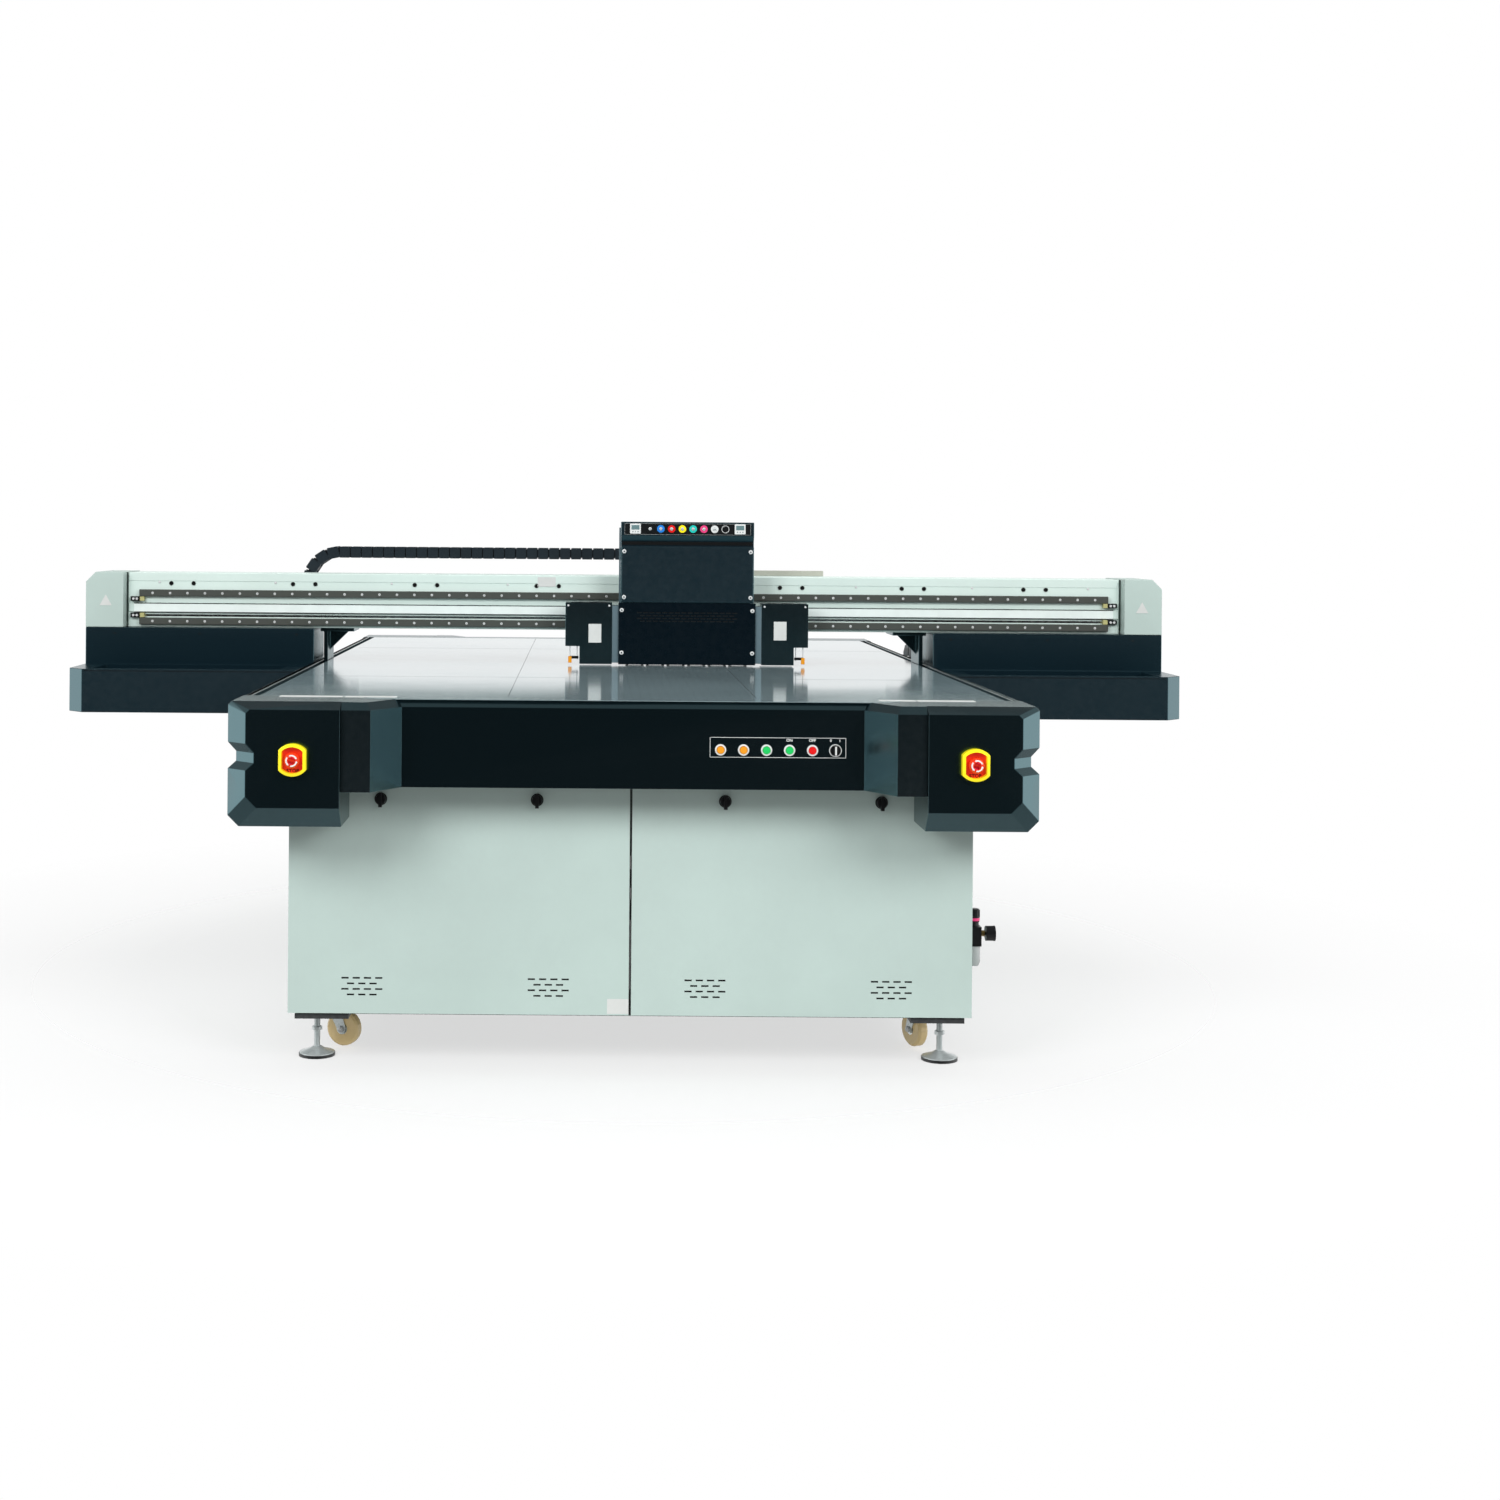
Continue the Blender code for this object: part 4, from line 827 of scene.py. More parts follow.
@dataclass
class GuideRails:
    """Bolts along the beam's guide rails, the track between them, and the stops at their ends."""

    bolt_pitch: float = 0.060
    bolt_radius: float = 0.0042
    bare_ends: float = 0.04
    track_overhang: float = 0.02
    track_low: float = 0.032
    track_high: float = 0.059
    stop_offset: float = 0.0085

    def build(self) -> None:
        """Builds all of it on the gantry."""
        self.upper, self.lower = Box("x_rail_upper"), Box("x_rail_lower")
        self.bolts("x_rail_upper", self.upper)
        self.bolts("x_rail_lower", self.lower)
        self.track()
        for side, _ in SIDES:
            self.stops(side)

    def bolts(self, node: str, rail: Box) -> None:
        """Builds one rail's bolts, each with a dark hexagon of painted shade in its socket, and
        dark strips of painted shade in the groove along each of its edges.

        Args:
            node: The rail's node.
            rail: Its box.
        """
        heads = Piece(f"{node}_bolts", Finish.SCREW)
        socket_shade = Piece(f"{node}_sockets", Finish.HOLLOW)
        groove_shade = Piece(f"{node}_grooves", Finish.HOLLOW)
        radius, key = self.bolt_radius, self.bolt_radius * 0.32
        profile = [(radius, 0.001), (radius, 0.0), (radius * 0.8, -0.00015)]
        count = int((rail.x1 - rail.x0 - self.bare_ends) / self.bolt_pitch)
        for i in range(count + 1):
            place = ((i - count / 2) * self.bolt_pitch, rail.y0, rail.z)
            heads.turned(profile, place, Axis.Y, 12)
            # painted shade: a near-black hexagon just proud of each head stands for the shade in
            # its socket
            socket_shade.turned([(key, -0.00019), (key, 0.0)], place, Axis.Y, 6)
        # painted shade: thin near-black strips stand for the shade in the groove along each rail
        # edge
        for z in (rail.z0 - 0.0004, rail.z1 - 0.0006):
            groove_shade.box((rail.x0, rail.y0 + 0.004, z), (rail.x1, rail.y0 + 0.012, z + 0.001))
        place_all(Body.GANTRY, heads, socket_shade, groove_shade)

    def track(self) -> None:
        """Builds the pale motor track and its thin borders."""
        y, low = Box("gantry_beam").y0, self.lower
        x0, x1 = self.upper.x0 - self.track_overhang, self.upper.x1 + self.track_overhang
        z0, z1 = low.z + self.track_low, low.z + self.track_high
        track, rims = Piece("motor_track", Finish.BELT), Piece("track_rims", Finish.BRIGHT)
        track.box((x0, y - 0.0012, z0), (x1, y + 0.001, z1)).place(Body.GANTRY, 0.0006)
        for z in (z0 - 0.0035, z1 + 0.0005):
            rims.box((x0, y - 0.0018, z), (x1, y + 0.004, z + 0.003))
        rims.box((x0, y + 0.0053, low.z1 + 0.004), (x1, y + 0.0075, low.z1 + 0.012))
        rims.place(Body.GANTRY, 0.0005)

    def stops(self, side: int) -> None:
        """Builds the stop blocks at one end of the rails.

        Args:
            side: -1 for the left end, 1 for the right.
        """
        end, y0, y1 = self.upper.edge(side), self.upper.y0, self.upper.y1
        block = Piece(f"stop_blocks_{side + 1}", Finish.PLASTIC)
        pad = Piece(f"stop_pads_{side + 1}", Finish.BUMPER)
        screws = Piece(f"stop_screws_{side + 1}", Finish.SCREW)
        for z in (self.upper.z0 - self.stop_offset, self.lower.z1 + self.stop_offset):
            block.box((end - side * 0.001, y0 + 0.001, z - 0.008),
                      (end + side * 0.030, y1 + 0.0003, z + 0.008))
            pad.box((end - side * 0.002, y0 + 0.002, z - 0.0075),
                    (end - side * 0.017, y1, z + 0.0075))
            for step in (0.008, 0.020):
                place = (end + side * step, y0, z)
                screws.turned([(0.0042, -0.001), (0.0042, 0.002)], place, Axis.Y, 14)
        block.place(Body.GANTRY, 0.001)
        pad.place(Body.GANTRY, 0.001)
        screws.place(Body.GANTRY)


@dataclass
class BeamFittings:
    """Holes and screws of the beam, its flange, its duct's lid, and what the end covers carry."""

    hole_radius: float = 0.0062
    hole_spacing: float = 0.077
    hole_centre: float = 0.157
    section: float = 0.4195
    screw_pitch: float = 0.4
    holes_above_rail: float = 0.022
    flange_above_rail: Pair = (0.030, 0.057)
    label: Pair = (-0.297, -0.235)
    duct_x: Pair = (0.10, 0.705)
    duct_y: Pair = (0.145, 0.178)

    def build(self) -> None:
        """Builds all of it on the gantry."""
        beam, rail = Box("gantry_beam"), Box("x_rail_upper")
        y = rail.y1
        low, high = (rail.z1 + rise for rise in self.flange_above_rail)
        self.holes(y, rail.z1 + self.holes_above_rail)
        self.duct_lid(beam.z1)
        flange, label = Piece("beam_flange", Finish.BEAM), Piece("beam_label", Finish.LABEL)
        flange.box((beam.x0 + 0.004, y - 0.0016, low), (beam.x1 - 0.004, y + 0.001, high))
        flange.place(Body.GANTRY, 0.0008)
        label.box((self.label[0], y - 0.0022, low - 0.010),
                  (self.label[1], y - 0.0008, high - 0.004))
        label.place(Body.GANTRY)
        for side, name in SIDES:
            self.end_cover(side, name, beam.y0 + 0.012)
            self.station(side, name)

    def holes(self, y: float, z: float) -> None:
        """Builds the pairs of open fixing holes along the beam, each a near-black disc of painted
        shade inside a rim, and the screws between them.

        Args:
            y: The beam's front.
            z: Their height.
        """
        holes, rims = Piece("beam_holes", Finish.HOLLOW), Piece("beam_hole_rims", Finish.RAIL)
        screws, radius = Piece("beam_screws", Finish.SCREW), self.hole_radius
        for number in range(-4, 4):
            for shift in (-self.hole_spacing / 2, self.hole_spacing / 2):
                place = (self.hole_centre + number * self.section + shift, y, z)
                # painted shade: a near-black disc stands for the shade inside each hole
                holes.turned([(radius, -0.0021), (radius, 0.001)], place, Axis.Y, 20)
                rims.ring(place, Axis.Y, (radius, radius + 0.0012), (-0.0023, 0.001), 20)
        for number in range(-4, 5):
            place = (number * self.screw_pitch, y, z + 0.004)
            screws.turned([(0.0040, 0.0), (0.0040, -0.0022), (0.0026, -0.0030)], place, Axis.Y, 14)
        place_all(Body.GANTRY, holes, rims, screws)

    def duct_lid(self, top: float) -> None:
        """Builds the beige lid of the cable duct behind the beam.

        Args:
            top: The height of the duct's top.
        """
        (x0, x1), (y0, y1) = self.duct_x, self.duct_y
        out, over, drop, hem = 0.0012, top + 0.0012, top - 0.017, top - 0.012
        section = [(y0 - out, drop), (y0 - out, over), (y1 + out, over), (y1 + out, hem),
                   (y1 + 0.0004, hem), (y1 + 0.0004, top + 0.0002), (y0 - 0.0003, top + 0.0002),
                   (y0 - 0.0003, drop)]
        lid = Piece("duct_lid", Finish.BEIGE).prism(section, Axis.X, x0 - 0.001, x1 + 0.001)
        lid.place(Body.GANTRY, 0.0004)

    def end_cover(self, side: int, name: str, back: float) -> None:
        """Builds the inner return, the blank warning plate and the screws of one end cover.

        Args:
            side: -1 for the left one, 1 for the right.
            name: "left" or "right".
            back: Y of the return's back.
        """
        cover = Box(f"end_cover_{name}")
        x, z, inner = cover.x - side * 0.004, cover.z - 0.002, cover.edge(-side)
        fold = Piece(f"end_return_{name}", Finish.GREY)
        fold.box((inner, cover.y0 + 0.0004, cover.z0 + 0.0004), (inner + side * 0.0012, back,
                                                                 cover.z1 - 0.0006))
        plate = Piece(f"end_label_{name}", Finish.LABEL)
        plate.prism([(x - 0.021, z - 0.018), (x + 0.021, z - 0.018), (x, z + 0.019)], Axis.Y,
                    cover.y0 - 0.0008, cover.y0 + 0.0005)
        heads = Piece(f"end_screws_{name}", Finish.SCREW)
        for depth in (0.04, 0.13, 0.22):
            for height in (0.03, 0.12):
                place = (cover.edge(side), cover.y0 + depth, cover.z0 + height)
                heads.stud(place, Axis.X, 0.0045, 0.0004)
        place_all(Body.GANTRY, fold, plate, heads)

    def station(self, side: int, name: str) -> None:
        """Builds the screws and the seam of one station housing.

        Args:
            side: -1 for the left one, 1 for the right.
            name: "left" or "right".
        """
        housing, y = Box(f"station_{name}"), Box(f"end_cover_{name}").y0
        inner, outer = housing.edge(-side), housing.edge(side)
        screws = Piece(f"station_screws_{name}", Finish.BLACK)
        for x in (inner + side * 0.06, housing.x, outer - side * 0.10):
            screws.stud((x, y, housing.z1 - 0.020), Axis.Y, 0.0042, 0.0012)
        seam = Piece(f"station_seam_{name}", Finish.HOLLOW)
        seam.box((inner + side * 0.03, housing.y0 - 0.0002, housing.z0 + 0.136),
                 (outer - side * 0.06, housing.y0 + 0.0008, housing.z0 + 0.1378))
        place_all(Body.GANTRY, screws, seam)


@dataclass
class PrintHead:
    """The head's instrument strip, its covers' screws and vents, with painted shade in their slots
    and in the upper cover's groove, its lamps and its sensors.
    """

    cap_radius: float = 0.0128
    cap_pitch: float = 0.0363
    gauge_offset: float = 0.1765
    strip_below_top: float = 0.0235
    screw_radius: float = 0.0070
    vent_pitch: Pair = (0.0215, 0.0095)
    vent_half: float = 0.0085
    nozzle_pitch: float = 0.070
    caps: tuple[Finish, ...] = (Finish.PLASTIC, Finish.BLUE, Finish.RED, Finish.YELLOW, Finish.CYAN,
                                Finish.PINK, Finish.WHITE, Finish.PLASTIC)

    def build(self) -> None:
        """Builds all of it on the head."""
        self.hood, self.apron = Box("head_hood"), Box("head_apron")
        self.strip()
        self.caps_row()
        self.cover_screws()
        self.vents()
        for side, name in SIDES:
            self.lamp(side, name)
        self.nozzles()

    def strip(self) -> None:
        """Builds the dark strip along the top, with its border and its two gauges."""
        hood, y, z = self.hood, self.hood.y0, self.hood.z1 - self.strip_below_top
        plate, line = Piece("strip_plate", Finish.PLASTIC), Piece("strip_border", Finish.STEEL)
        plate.box((hood.x0 + 0.010, y - 0.0008, z - 0.0205),
                  (hood.x1 - 0.010, y + 0.001, z + 0.0190))
        plate.place(Body.HEAD, 0.0015)
        for z0, z1 in ((z - 0.0195, z - 0.0188), (z + 0.0172, z + 0.0179)):
            line.box((hood.x0 + 0.012, y - 0.0011, z0), (hood.x1 - 0.012, y, z1))
        for x in (hood.x0 + 0.012, hood.x1 - 0.0127):
            line.box((x, y - 0.0011, z - 0.0195), (x + 0.0007, y, z + 0.0179))
        line.place(Body.HEAD)
        for side, _ in SIDES:
            x, name = hood.x + side * self.gauge_offset, f"gauge_{side + 1}"
            bezel = Piece(f"{name}_bezel", Finish.WHITE)
            bezel.tile(x, z, (0.0185, 0.017), y - 0.006, y).place(Body.HEAD, 0.002)
            screen = Piece(f"{name}_screen", Finish.SCREEN)
            screen.tile(x, z + 0.00475, (0.0135, 0.00775), y - 0.0066, y - 0.005)
            screen.place(Body.HEAD, 0.0006)
            keys = Piece(f"{name}_keys", Finish.STEEL)
            for i in (-1, 0, 1):
                place = (x + i * 0.009, y - 0.006, z - 0.0095)
                keys.turned([(0.0024, -0.0008), (0.0024, 0.001)], place, Axis.Y, 12)
            keys.place(Body.HEAD)

    def caps_row(self) -> None:
        """Builds the row of coloured rings with a toggle switch each, and the plain last cap."""
        radius, last = self.cap_radius, len(self.caps) - 1
        y, z = self.hood.y0, self.hood.z1 - self.strip_below_top
        for i, finish in enumerate(self.caps):
            place = (self.hood.x + (i - last / 2) * self.cap_pitch, y, z)
            radii = (0.0058, radius) if i < last else (0.0005, radius - 0.0016)
            ring = Piece(f"cap_{i + 1}", finish, "black_plastic")
            ring.ring(place, Axis.Y, radii, (-0.0030, 0.0005)).place(Body.HEAD, 0.0004)
            if i < last:
                nut = Piece(f"cap_{i + 1}_nut", Finish.SCREW)
                nut.turned([(0.0060, 0.0), (0.0060, -0.0040), (0.0048, -0.0052)], place, Axis.Y, 6)
                nut.place(Body.HEAD, 0.0004)
                stick = Piece(f"cap_{i + 1}_lever", Finish.STEEL)
                stick.turned([(0.0015, -0.0050), (0.0022, -0.0130), (0.0014, -0.0140)], place,
                             Axis.Y, 12)
                stick.place(Body.HEAD)
        circle = Piece(f"cap_{last + 1}_circle", Finish.WHITE)
        circle.ring(place, Axis.Y, (radius - 0.0014, radius), (-0.0036, 0.0005)).place(Body.HEAD)

    def cover_screws(self) -> None:
        """Builds the screws in the corners of both covers, each with a dark hexagon of painted
        shade in its slot.
        """
        hood, apron, wide = self.hood, self.apron, self.screw_radius
        heads = Piece("cover_screws", Finish.SCREW)
        slots = Piece("cover_screw_slots", Finish.HOLLOW)
        for cover, heights in ((hood, (hood.z1 - 0.100, hood.z0 + 0.018)),
                               (apron, (apron.z1 - 0.025, apron.z0 + 0.040))):
            for x in (cover.x0 + 0.011, cover.x1 - 0.011):
                for z in heights:
                    place = (x, apron.y0, z)
                    heads.turned([(wide, 0.0), (wide, -0.0016), (wide * 0.7, -0.0030)], place,
                                 Axis.Y, 18)
                    # painted shade: a near-black hexagon just proud of each head stands for the
                    # shade in its socket
                    slots.turned([(0.0026, -0.0033), (0.0026, -0.0015)], place, Axis.Y, 6)
        place_all(Body.HEAD, heads, slots)

    def vents(self) -> None:
        """Builds the lower cover's vents as near-black strips of painted shade, and the upper one's
        groove, a dark strip of painted shade, and its plate.
        """
        hood, apron, y = self.hood, self.apron, self.apron.y0
        vents, lips = Piece("cover_vents", Finish.HOLLOW), Piece("cover_vent_lips", Finish.HOOD)
        # painted shade: each vent is a near-black strip standing proud of the cover, in place of
        # the shade inside a slot
        for row in range(4):
            count = 16 - row % 2
            z = apron.z1 - 0.033 - row * self.vent_pitch[1]
            for i in range(count):
                x = apron.x + (i - (count - 1) / 2) * self.vent_pitch[0]
                vents.tile(x, z, (self.vent_half, 0.0017), y - 0.0005, y + 0.001)
                lips.tile(x, z - 0.0022, (self.vent_half, 0.0004), y - 0.0008, y + 0.001)
        # painted shade: a near-black strip stands for the shade in the groove below the instrument
        # strip
        groove = Piece("hood_groove", Finish.HOLLOW)
        groove.box((hood.x0 + 0.004, y + 0.0088, hood.z1 - 0.0785),
                   (hood.x1 - 0.004, y + 0.0102, hood.z1 - 0.0665))
        place_all(Body.HEAD, vents, lips, groove)
        plate = Piece("hood_plate", Finish.HOOD)
        plate.box((hood.x0 + 0.003, y - 0.0016, hood.z0 + 0.003),
                  (hood.x1 - 0.003, y + 0.001, hood.z1 - 0.0855)).place(Body.HEAD, 0.0012)

    def lamp(self, side: int, name: str) -> None:
        """Builds the blank label, fins and screws of one lamp, and the sensor beside its foot.

        Args:
            side: -1 for the left lamp, 1 for the right.
            name: "left" or "right".
        """
        lamp = Box(f"uv_lamp_{name}")
        shift, drop = (0.021, 0.1035) if side < 0 else (-0.016, 0.0915)
        label = Piece(f"lamp_label_{name}", Finish.LABEL)
        fins = Piece(f"lamp_fins_{name}", Finish.HOLLOW)
        label.tile(lamp.x + shift, lamp.z1 - drop, (0.0215, 0.0315), lamp.y0 - 0.0008,
                   lamp.y0 + 0.0005)
        for i in range(9):
            y = lamp.y0 + 0.010 + i * 0.0062
            fins.box((lamp.x0 + 0.02, y, lamp.z1 - 0.0004), (lamp.x1 - 0.02, y + 0.0028,
                                                             lamp.z1 + 0.0006))
        screws = Piece(f"lamp_screws_{name}", Finish.SCREW)
        for x in (lamp.x0 + 0.010, lamp.x1 - 0.010):
            screws.turned([(0.0035, 0.0), (0.0035, -0.0012), (0.002, -0.002)],
                          (x, lamp.y0, lamp.z1 - 0.010), Axis.Y, 14)
        x, y, z = lamp.edge(side) - side * 0.016, lamp.y0 + 0.018, lamp.z0
        rods = Piece(f"sensor_rods_{name}", Finish.SCREW)
        for step in (0.0, 0.024):
            rods.turned([(0.0016, z + 0.014), (0.0016, z + 0.064)], (x - side * step, y, 0),
                        Axis.Z, 10)
        place_all(Body.HEAD, label, fins, screws, rods)
        arm = Piece(f"sensor_arm_{name}", Finish.PLASTIC)
        arm.box((x - side * 0.029, y - 0.006, z + 0.017), (x + side * 0.001, y + 0.006, z + 0.026))
        arm.place(Body.HEAD, 0.001)
        tip = Piece(f"sensor_tip_{name}", Finish.ORANGE)
        tip.box((x - 0.006, y - 0.007, z + 0.003), (x + 0.006, y + 0.007, z + 0.025))
        tip.place(Body.HEAD, 0.0012)

    def nozzles(self) -> None:
        """Builds the nozzle faces under the head and the guards between them."""
        base = Box("head_frame")
        faces, guards = Piece("nozzle_faces", Finish.BRIGHT), Piece("nozzle_guards", Finish.HOLLOW)
        y0, y1, z1 = base.y0 + 0.020, base.y1 - 0.014, base.z0 + 0.001
        for i in range(6):
            x = base.x + (i - 2.5) * self.nozzle_pitch
            faces.box((x - 0.019, y0, base.z0 - 0.0008), (x + 0.019, y1, z1))
            for middle in (x - 0.026, x + 0.026):
                guards.box((middle - 0.0045, y0, base.z0 - 0.0016), (middle + 0.0045, y1, z1))
        place_all(Body.HEAD, faces, guards)


@dataclass
class DragChain:
    """A cable chain in place of a CAD node: links along a flat U, in three stretches."""

    node: str
    along: Axis
    fixed: Body
    moving: Body
    height: float = 0.041
    pitch: float = 0.0385
    plate: float = 0.011
    far: float = 100.0

    def build(self, upper_end: float, lower_end: float, bend: float) -> None:
        """Builds the three stretches.

        Args:
            upper_end: Where the upper run ends.
            lower_end: Where the lower run ends.
            bend: The bend's outermost place.
        """
        b = Box(self.node)
        radius = (b.z1 - b.z0) / 2
        side = 1 if upper_end > bend else -1
        centre, middle, r = bend + side * radius, b.z0 + radius, radius - self.height / 2
        count = max(6, int(math.pi * r / self.pitch))
        angles = [math.pi * (i + 0.5) / count for i in range(count)]
        turn = [(centre - side * r * math.sin(a), middle + r * math.cos(a), side * a,
                 math.pi * r / count) for a in angles]
        upper = self.straight(centre, upper_end, middle + r)
        lower = self.straight(centre, lower_end, middle - r)
        runs = {
            "upper": (upper, 2 * centre - upper_end, upper_end),
            "lower": (lower, lower_end, 2 * centre - lower_end),
            "bend": (turn, centre - self.far, centre + self.far),
        }
        made = {name: self.links(name, run) for name, (run, _, _) in runs.items()}
        for name, (_, *span) in runs.items():
            for thing in made[name]:
                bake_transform(thing)
        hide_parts(self.node)

    def straight(self, start: float, end: float, z: float) -> list[Link]:
        """Lists the links of a straight run.

        Args:
            start: Where the run begins.
            end: Where it ends.
            z: The height of its middle.

        Returns:
            Place along, height, angle and length of each link.
        """
        count = max(1, round(abs(end - start) / self.pitch))
        step = (end - start) / count
        return [(start + (i + 0.5) * step, z, 0.0, abs(step)) for i in range(count)]

    def links(self, name: str, run: Sequence[Link]) -> list[bpy.types.Object]:
        """Builds the side plates and the crossbars of a run, with dark fills of painted shade in
        the gaps between links.

        Args:
            name: The run's name.
            run: Place along, height, angle and length of each link.

        Returns:
            The plates and the crossbars.
        """
        in_x, b, plate = self.along is Axis.X, Box(self.node), self.plate
        (near, far), axis = ((b.y0, b.y1), Axis.Y) if in_x else ((b.x0, b.x1), Axis.X)
        plates = Piece(f"{self.node}_{name}_plates", Finish.CHAIN)
        bars = Piece(f"{self.node}_{name}_bars", Finish.HOLLOW)
        wide = self.height / 2 - 0.0006
        for number, (place, z, angle, length) in enumerate(run):
            cos, sin = math.cos(angle), math.sin(angle)

            def lay(points: Sequence[Pair]) -> list[Pair]:
                """Turns and moves a link's outline to its place."""
                return [(place + u * cos - v * sin, z + u * sin + v * cos) for u, v in points]

            inset, half = (0.0018 if number % 2 else 0.0), length / 2 - 0.0016
            outline = lay([(-half, -wide * 0.90), (-half * 0.88, -wide), (half * 0.84, -wide),
                           (half, -wide * 0.93), (half, wide * 0.93), (half * 0.84, wide),
                           (-half * 0.88, wide), (-half, wide * 0.90)])
            # painted shade: a near-black fill behind each joint makes the gap between links read
            # dark
            gap_shade = lay([(half - 0.005, -wide * 0.72), (half + 0.004, -wide * 0.72),
                          (half + 0.004, wide * 0.72), (half - 0.005, wide * 0.72)])
            for start in (near, far - plate):
                low, high = start + inset, start + plate - inset
                plates.prism(outline, axis, low, high)
                bars.prism(gap_shade, axis, low + 0.0035, high - 0.0035)
            for v in (wide - 0.004, -wide + 0.001):
                bar = [(-half * 0.45, v), (half * 0.40, v), (half * 0.40, v + 0.003),
                       (-half * 0.45, v + 0.003)]
                bars.prism(lay(bar), axis, near + 0.006, far - 0.006)
        made = [piece.place(self.fixed.value, smooth=False) for piece in (plates, bars)]
        for one in made:
            one.parent = None
        return made


@dataclass
class TableDetails:
    """The bright rims round the table, its blank tape strips and the seams of the skin."""

    rim: Pair = (0.0205, 0.0365)
    zones: Pair = (0.34, 0.765)
    tapes: tuple[Pair, ...] = ((-0.957, -0.786), (-0.781, -0.640), (0.668, 0.767), (0.771, 0.928))

    def build(self) -> None:
        """Builds all of it on the base."""
        table, back = Box("vacuum_table"), Box("front_fascia").y0 + 0.130
        top, front = table.z1, table.y0 - 0.004
        rims, rim = Piece("table_side_rims", Finish.BRIGHT), Piece("table_front_rim", Finish.TABLE)
        for side, _ in SIDES:
            near, far = (side * (table.x1 + step) for step in self.rim)
            rims.box((near, table.y0 + 0.002, top - 0.004), (far, table.y1 - 0.002, top))
        rims.place(Body.BASE, 0.0012)
        rim.prism([(-0.760, front), (0.760, front), (0.690, back), (-0.690, back)], Axis.Z,
                  top - 0.001, top + 0.0006)
        tapes, seams = Piece("rim_tapes", Finish.LABEL), Piece("table_seams", Finish.HOLLOW)
        for x0, x1 in self.tapes:
            tapes.box((x0, table.y0 - 0.048, top - 0.0002), (x1, table.y0 - 0.012, top + 0.0012))
        z0, z1 = top - 0.0004, top + 0.00012
        for x in (-self.zones[0], self.zones[0]):
            seams.box((x - 0.0006, table.y0 + 0.02, z0), (x + 0.0006, table.y1 - 0.02, z1))
        for y in (-self.zones[1], self.zones[1]):
            seams.box((table.x0 + 0.02, y - 0.0006, z0), (table.x1 - 0.02, y + 0.0006, z1))
        place_all(Body.BASE, rim, tapes, seams)


@dataclass
class CoverFixings:
    """The fixing screws on the outer sides of the corner covers."""

    behind_front: float = 0.05

    def build(self) -> None:
        """Builds all of it on the base."""
        cover = Box("corner_cover_right")
        heads = Piece("cover_side_screws", Finish.SCREW)
        y = -abs(cover.y1) - self.behind_front
        for side, _ in SIDES:
            for z in (cover.z0 + 0.10, cover.z1 - 0.045):
                heads.stud((side * cover.x1, y, z), Axis.X, 0.0045, 0.0012)
        heads.place(Body.BASE)


@dataclass
class StopStations:
    """The yellow shroud, the red plate and the marked crown of each emergency stop."""

    width: float = 0.072
    height: float = 0.085
    wall: float = 0.0080
    hole: float = 0.0125
    arrow: Pair = (0.0118, 0.0156)
    arrow_sweep: float = 82.0

    def build(self) -> None:
        """Builds both."""
        for _, name in SIDES:
            self.station(name)
            self.crown(name)
            button, y = Box(f"stop_button_{name}"), Box(f"corner_cover_{name}").y0
            words(f"stop_word_{name}", "STOP", 0.0125, (button.x, y - 0.0054, button.z - 0.0290),
                  Finish.HOLLOW, 1.1)

    def outline(self, x: float, z: float, grow: float) -> list[Pair]:
        """Gives the shroud's outline: round above and below, with flat sides.

        Args:
            x: Its middle.
            z: Its middle height.
            grow: Added to its half sizes.

        Returns:
            Points in X and Z.
        """
        half_w, half_h, steps = self.width / 2 + grow, self.height / 2 + grow, 14
        points, start = [], math.asin(min(1.0, half_w / half_h * 0.93))
        for centre in (0.0, math.pi):
            for i in range(steps + 1):
                a = centre + start - 2 * start * i / steps
                wide = half_h * math.sin(a) * 1.07
                points.append((x + max(-half_w, min(half_w, wide)), z + half_h * math.cos(a)))
        return points

    def station(self, name: str) -> None:
        """Builds one shroud, and the plate inside it that the button stands in.

        Args:
            name: "left" or "right".
        """
        button, y = Box(f"stop_button_{name}"), Box(f"corner_cover_{name}").y0 - 0.0002
        x, z = button.x, button.z
        outer, inner = self.outline(x, z, 0.0), self.outline(x, z, -self.wall)
        edge = self.outline(x, z, -self.wall - 0.0002)
        hole = []
        for px, pz in edge:
            away = Vector((px - x, pz - z)).normalized() * self.hole
            hole.append((x + away.x, z + away.y))
        shroud, plate = f"stop_shroud_{name}", f"stop_plate_{name}"
        for piece, rings in (
            (Piece(shroud, Finish.YELLOW), ((outer, 0.0), (outer, -0.020), (inner, -0.0235),
                                            (inner, -0.004), (inner, 0.0))),
            (Piece(plate, Finish.HUB_RED), ((edge, -0.0048), (edge, -0.0001), (hole, -0.0001),
                                            (hole, -0.0048))),
        ):
            loops = [[(px, y + depth, pz) for px, pz in points] for points, depth in rings]
            piece.skin(loops, closed=True).place(Body.BASE)

    def crown(self, name: str) -> None:
        """Builds the crown and its turning arrows on the button's face.

        Args:
            name: "left" or "right".
        """
        body, button = f"stop_button_{name}", Box(f"stop_button_{name}")
        x, y, z = button.x, button.y0, button.z
        cap = Piece(f"stop_crown_{name}", Finish.CROWN)
        arrows = Piece(f"stop_arrows_{name}", Finish.WHITE)
        cap.turned([(0.0098, 0.0006), (0.0098, 0.0), (0.0085, 0.0)], (x, y, z), Axis.Y, 32)
        inner, outer = self.arrow
        for third in range(3):
            start = math.radians(20 + 120 * third)
            tip = start + math.radians(self.arrow_sweep)
            angles = [start + (tip - start) * i / 8 for i in range(9)]
            band = [(outer, a) for a in angles] + [(inner, a) for a in reversed(angles)]
            head = [(0.0168, tip), (0.0136, tip + 0.30), (0.0104, tip)]
            for shape in (band, head):
                points = [(x + r * math.cos(a), z + r * math.sin(a)) for r, a in shape]
                arrows.prism(points, Axis.Y, y + 0.0001, y + 0.0045)
        place_all(body, cap, arrows)


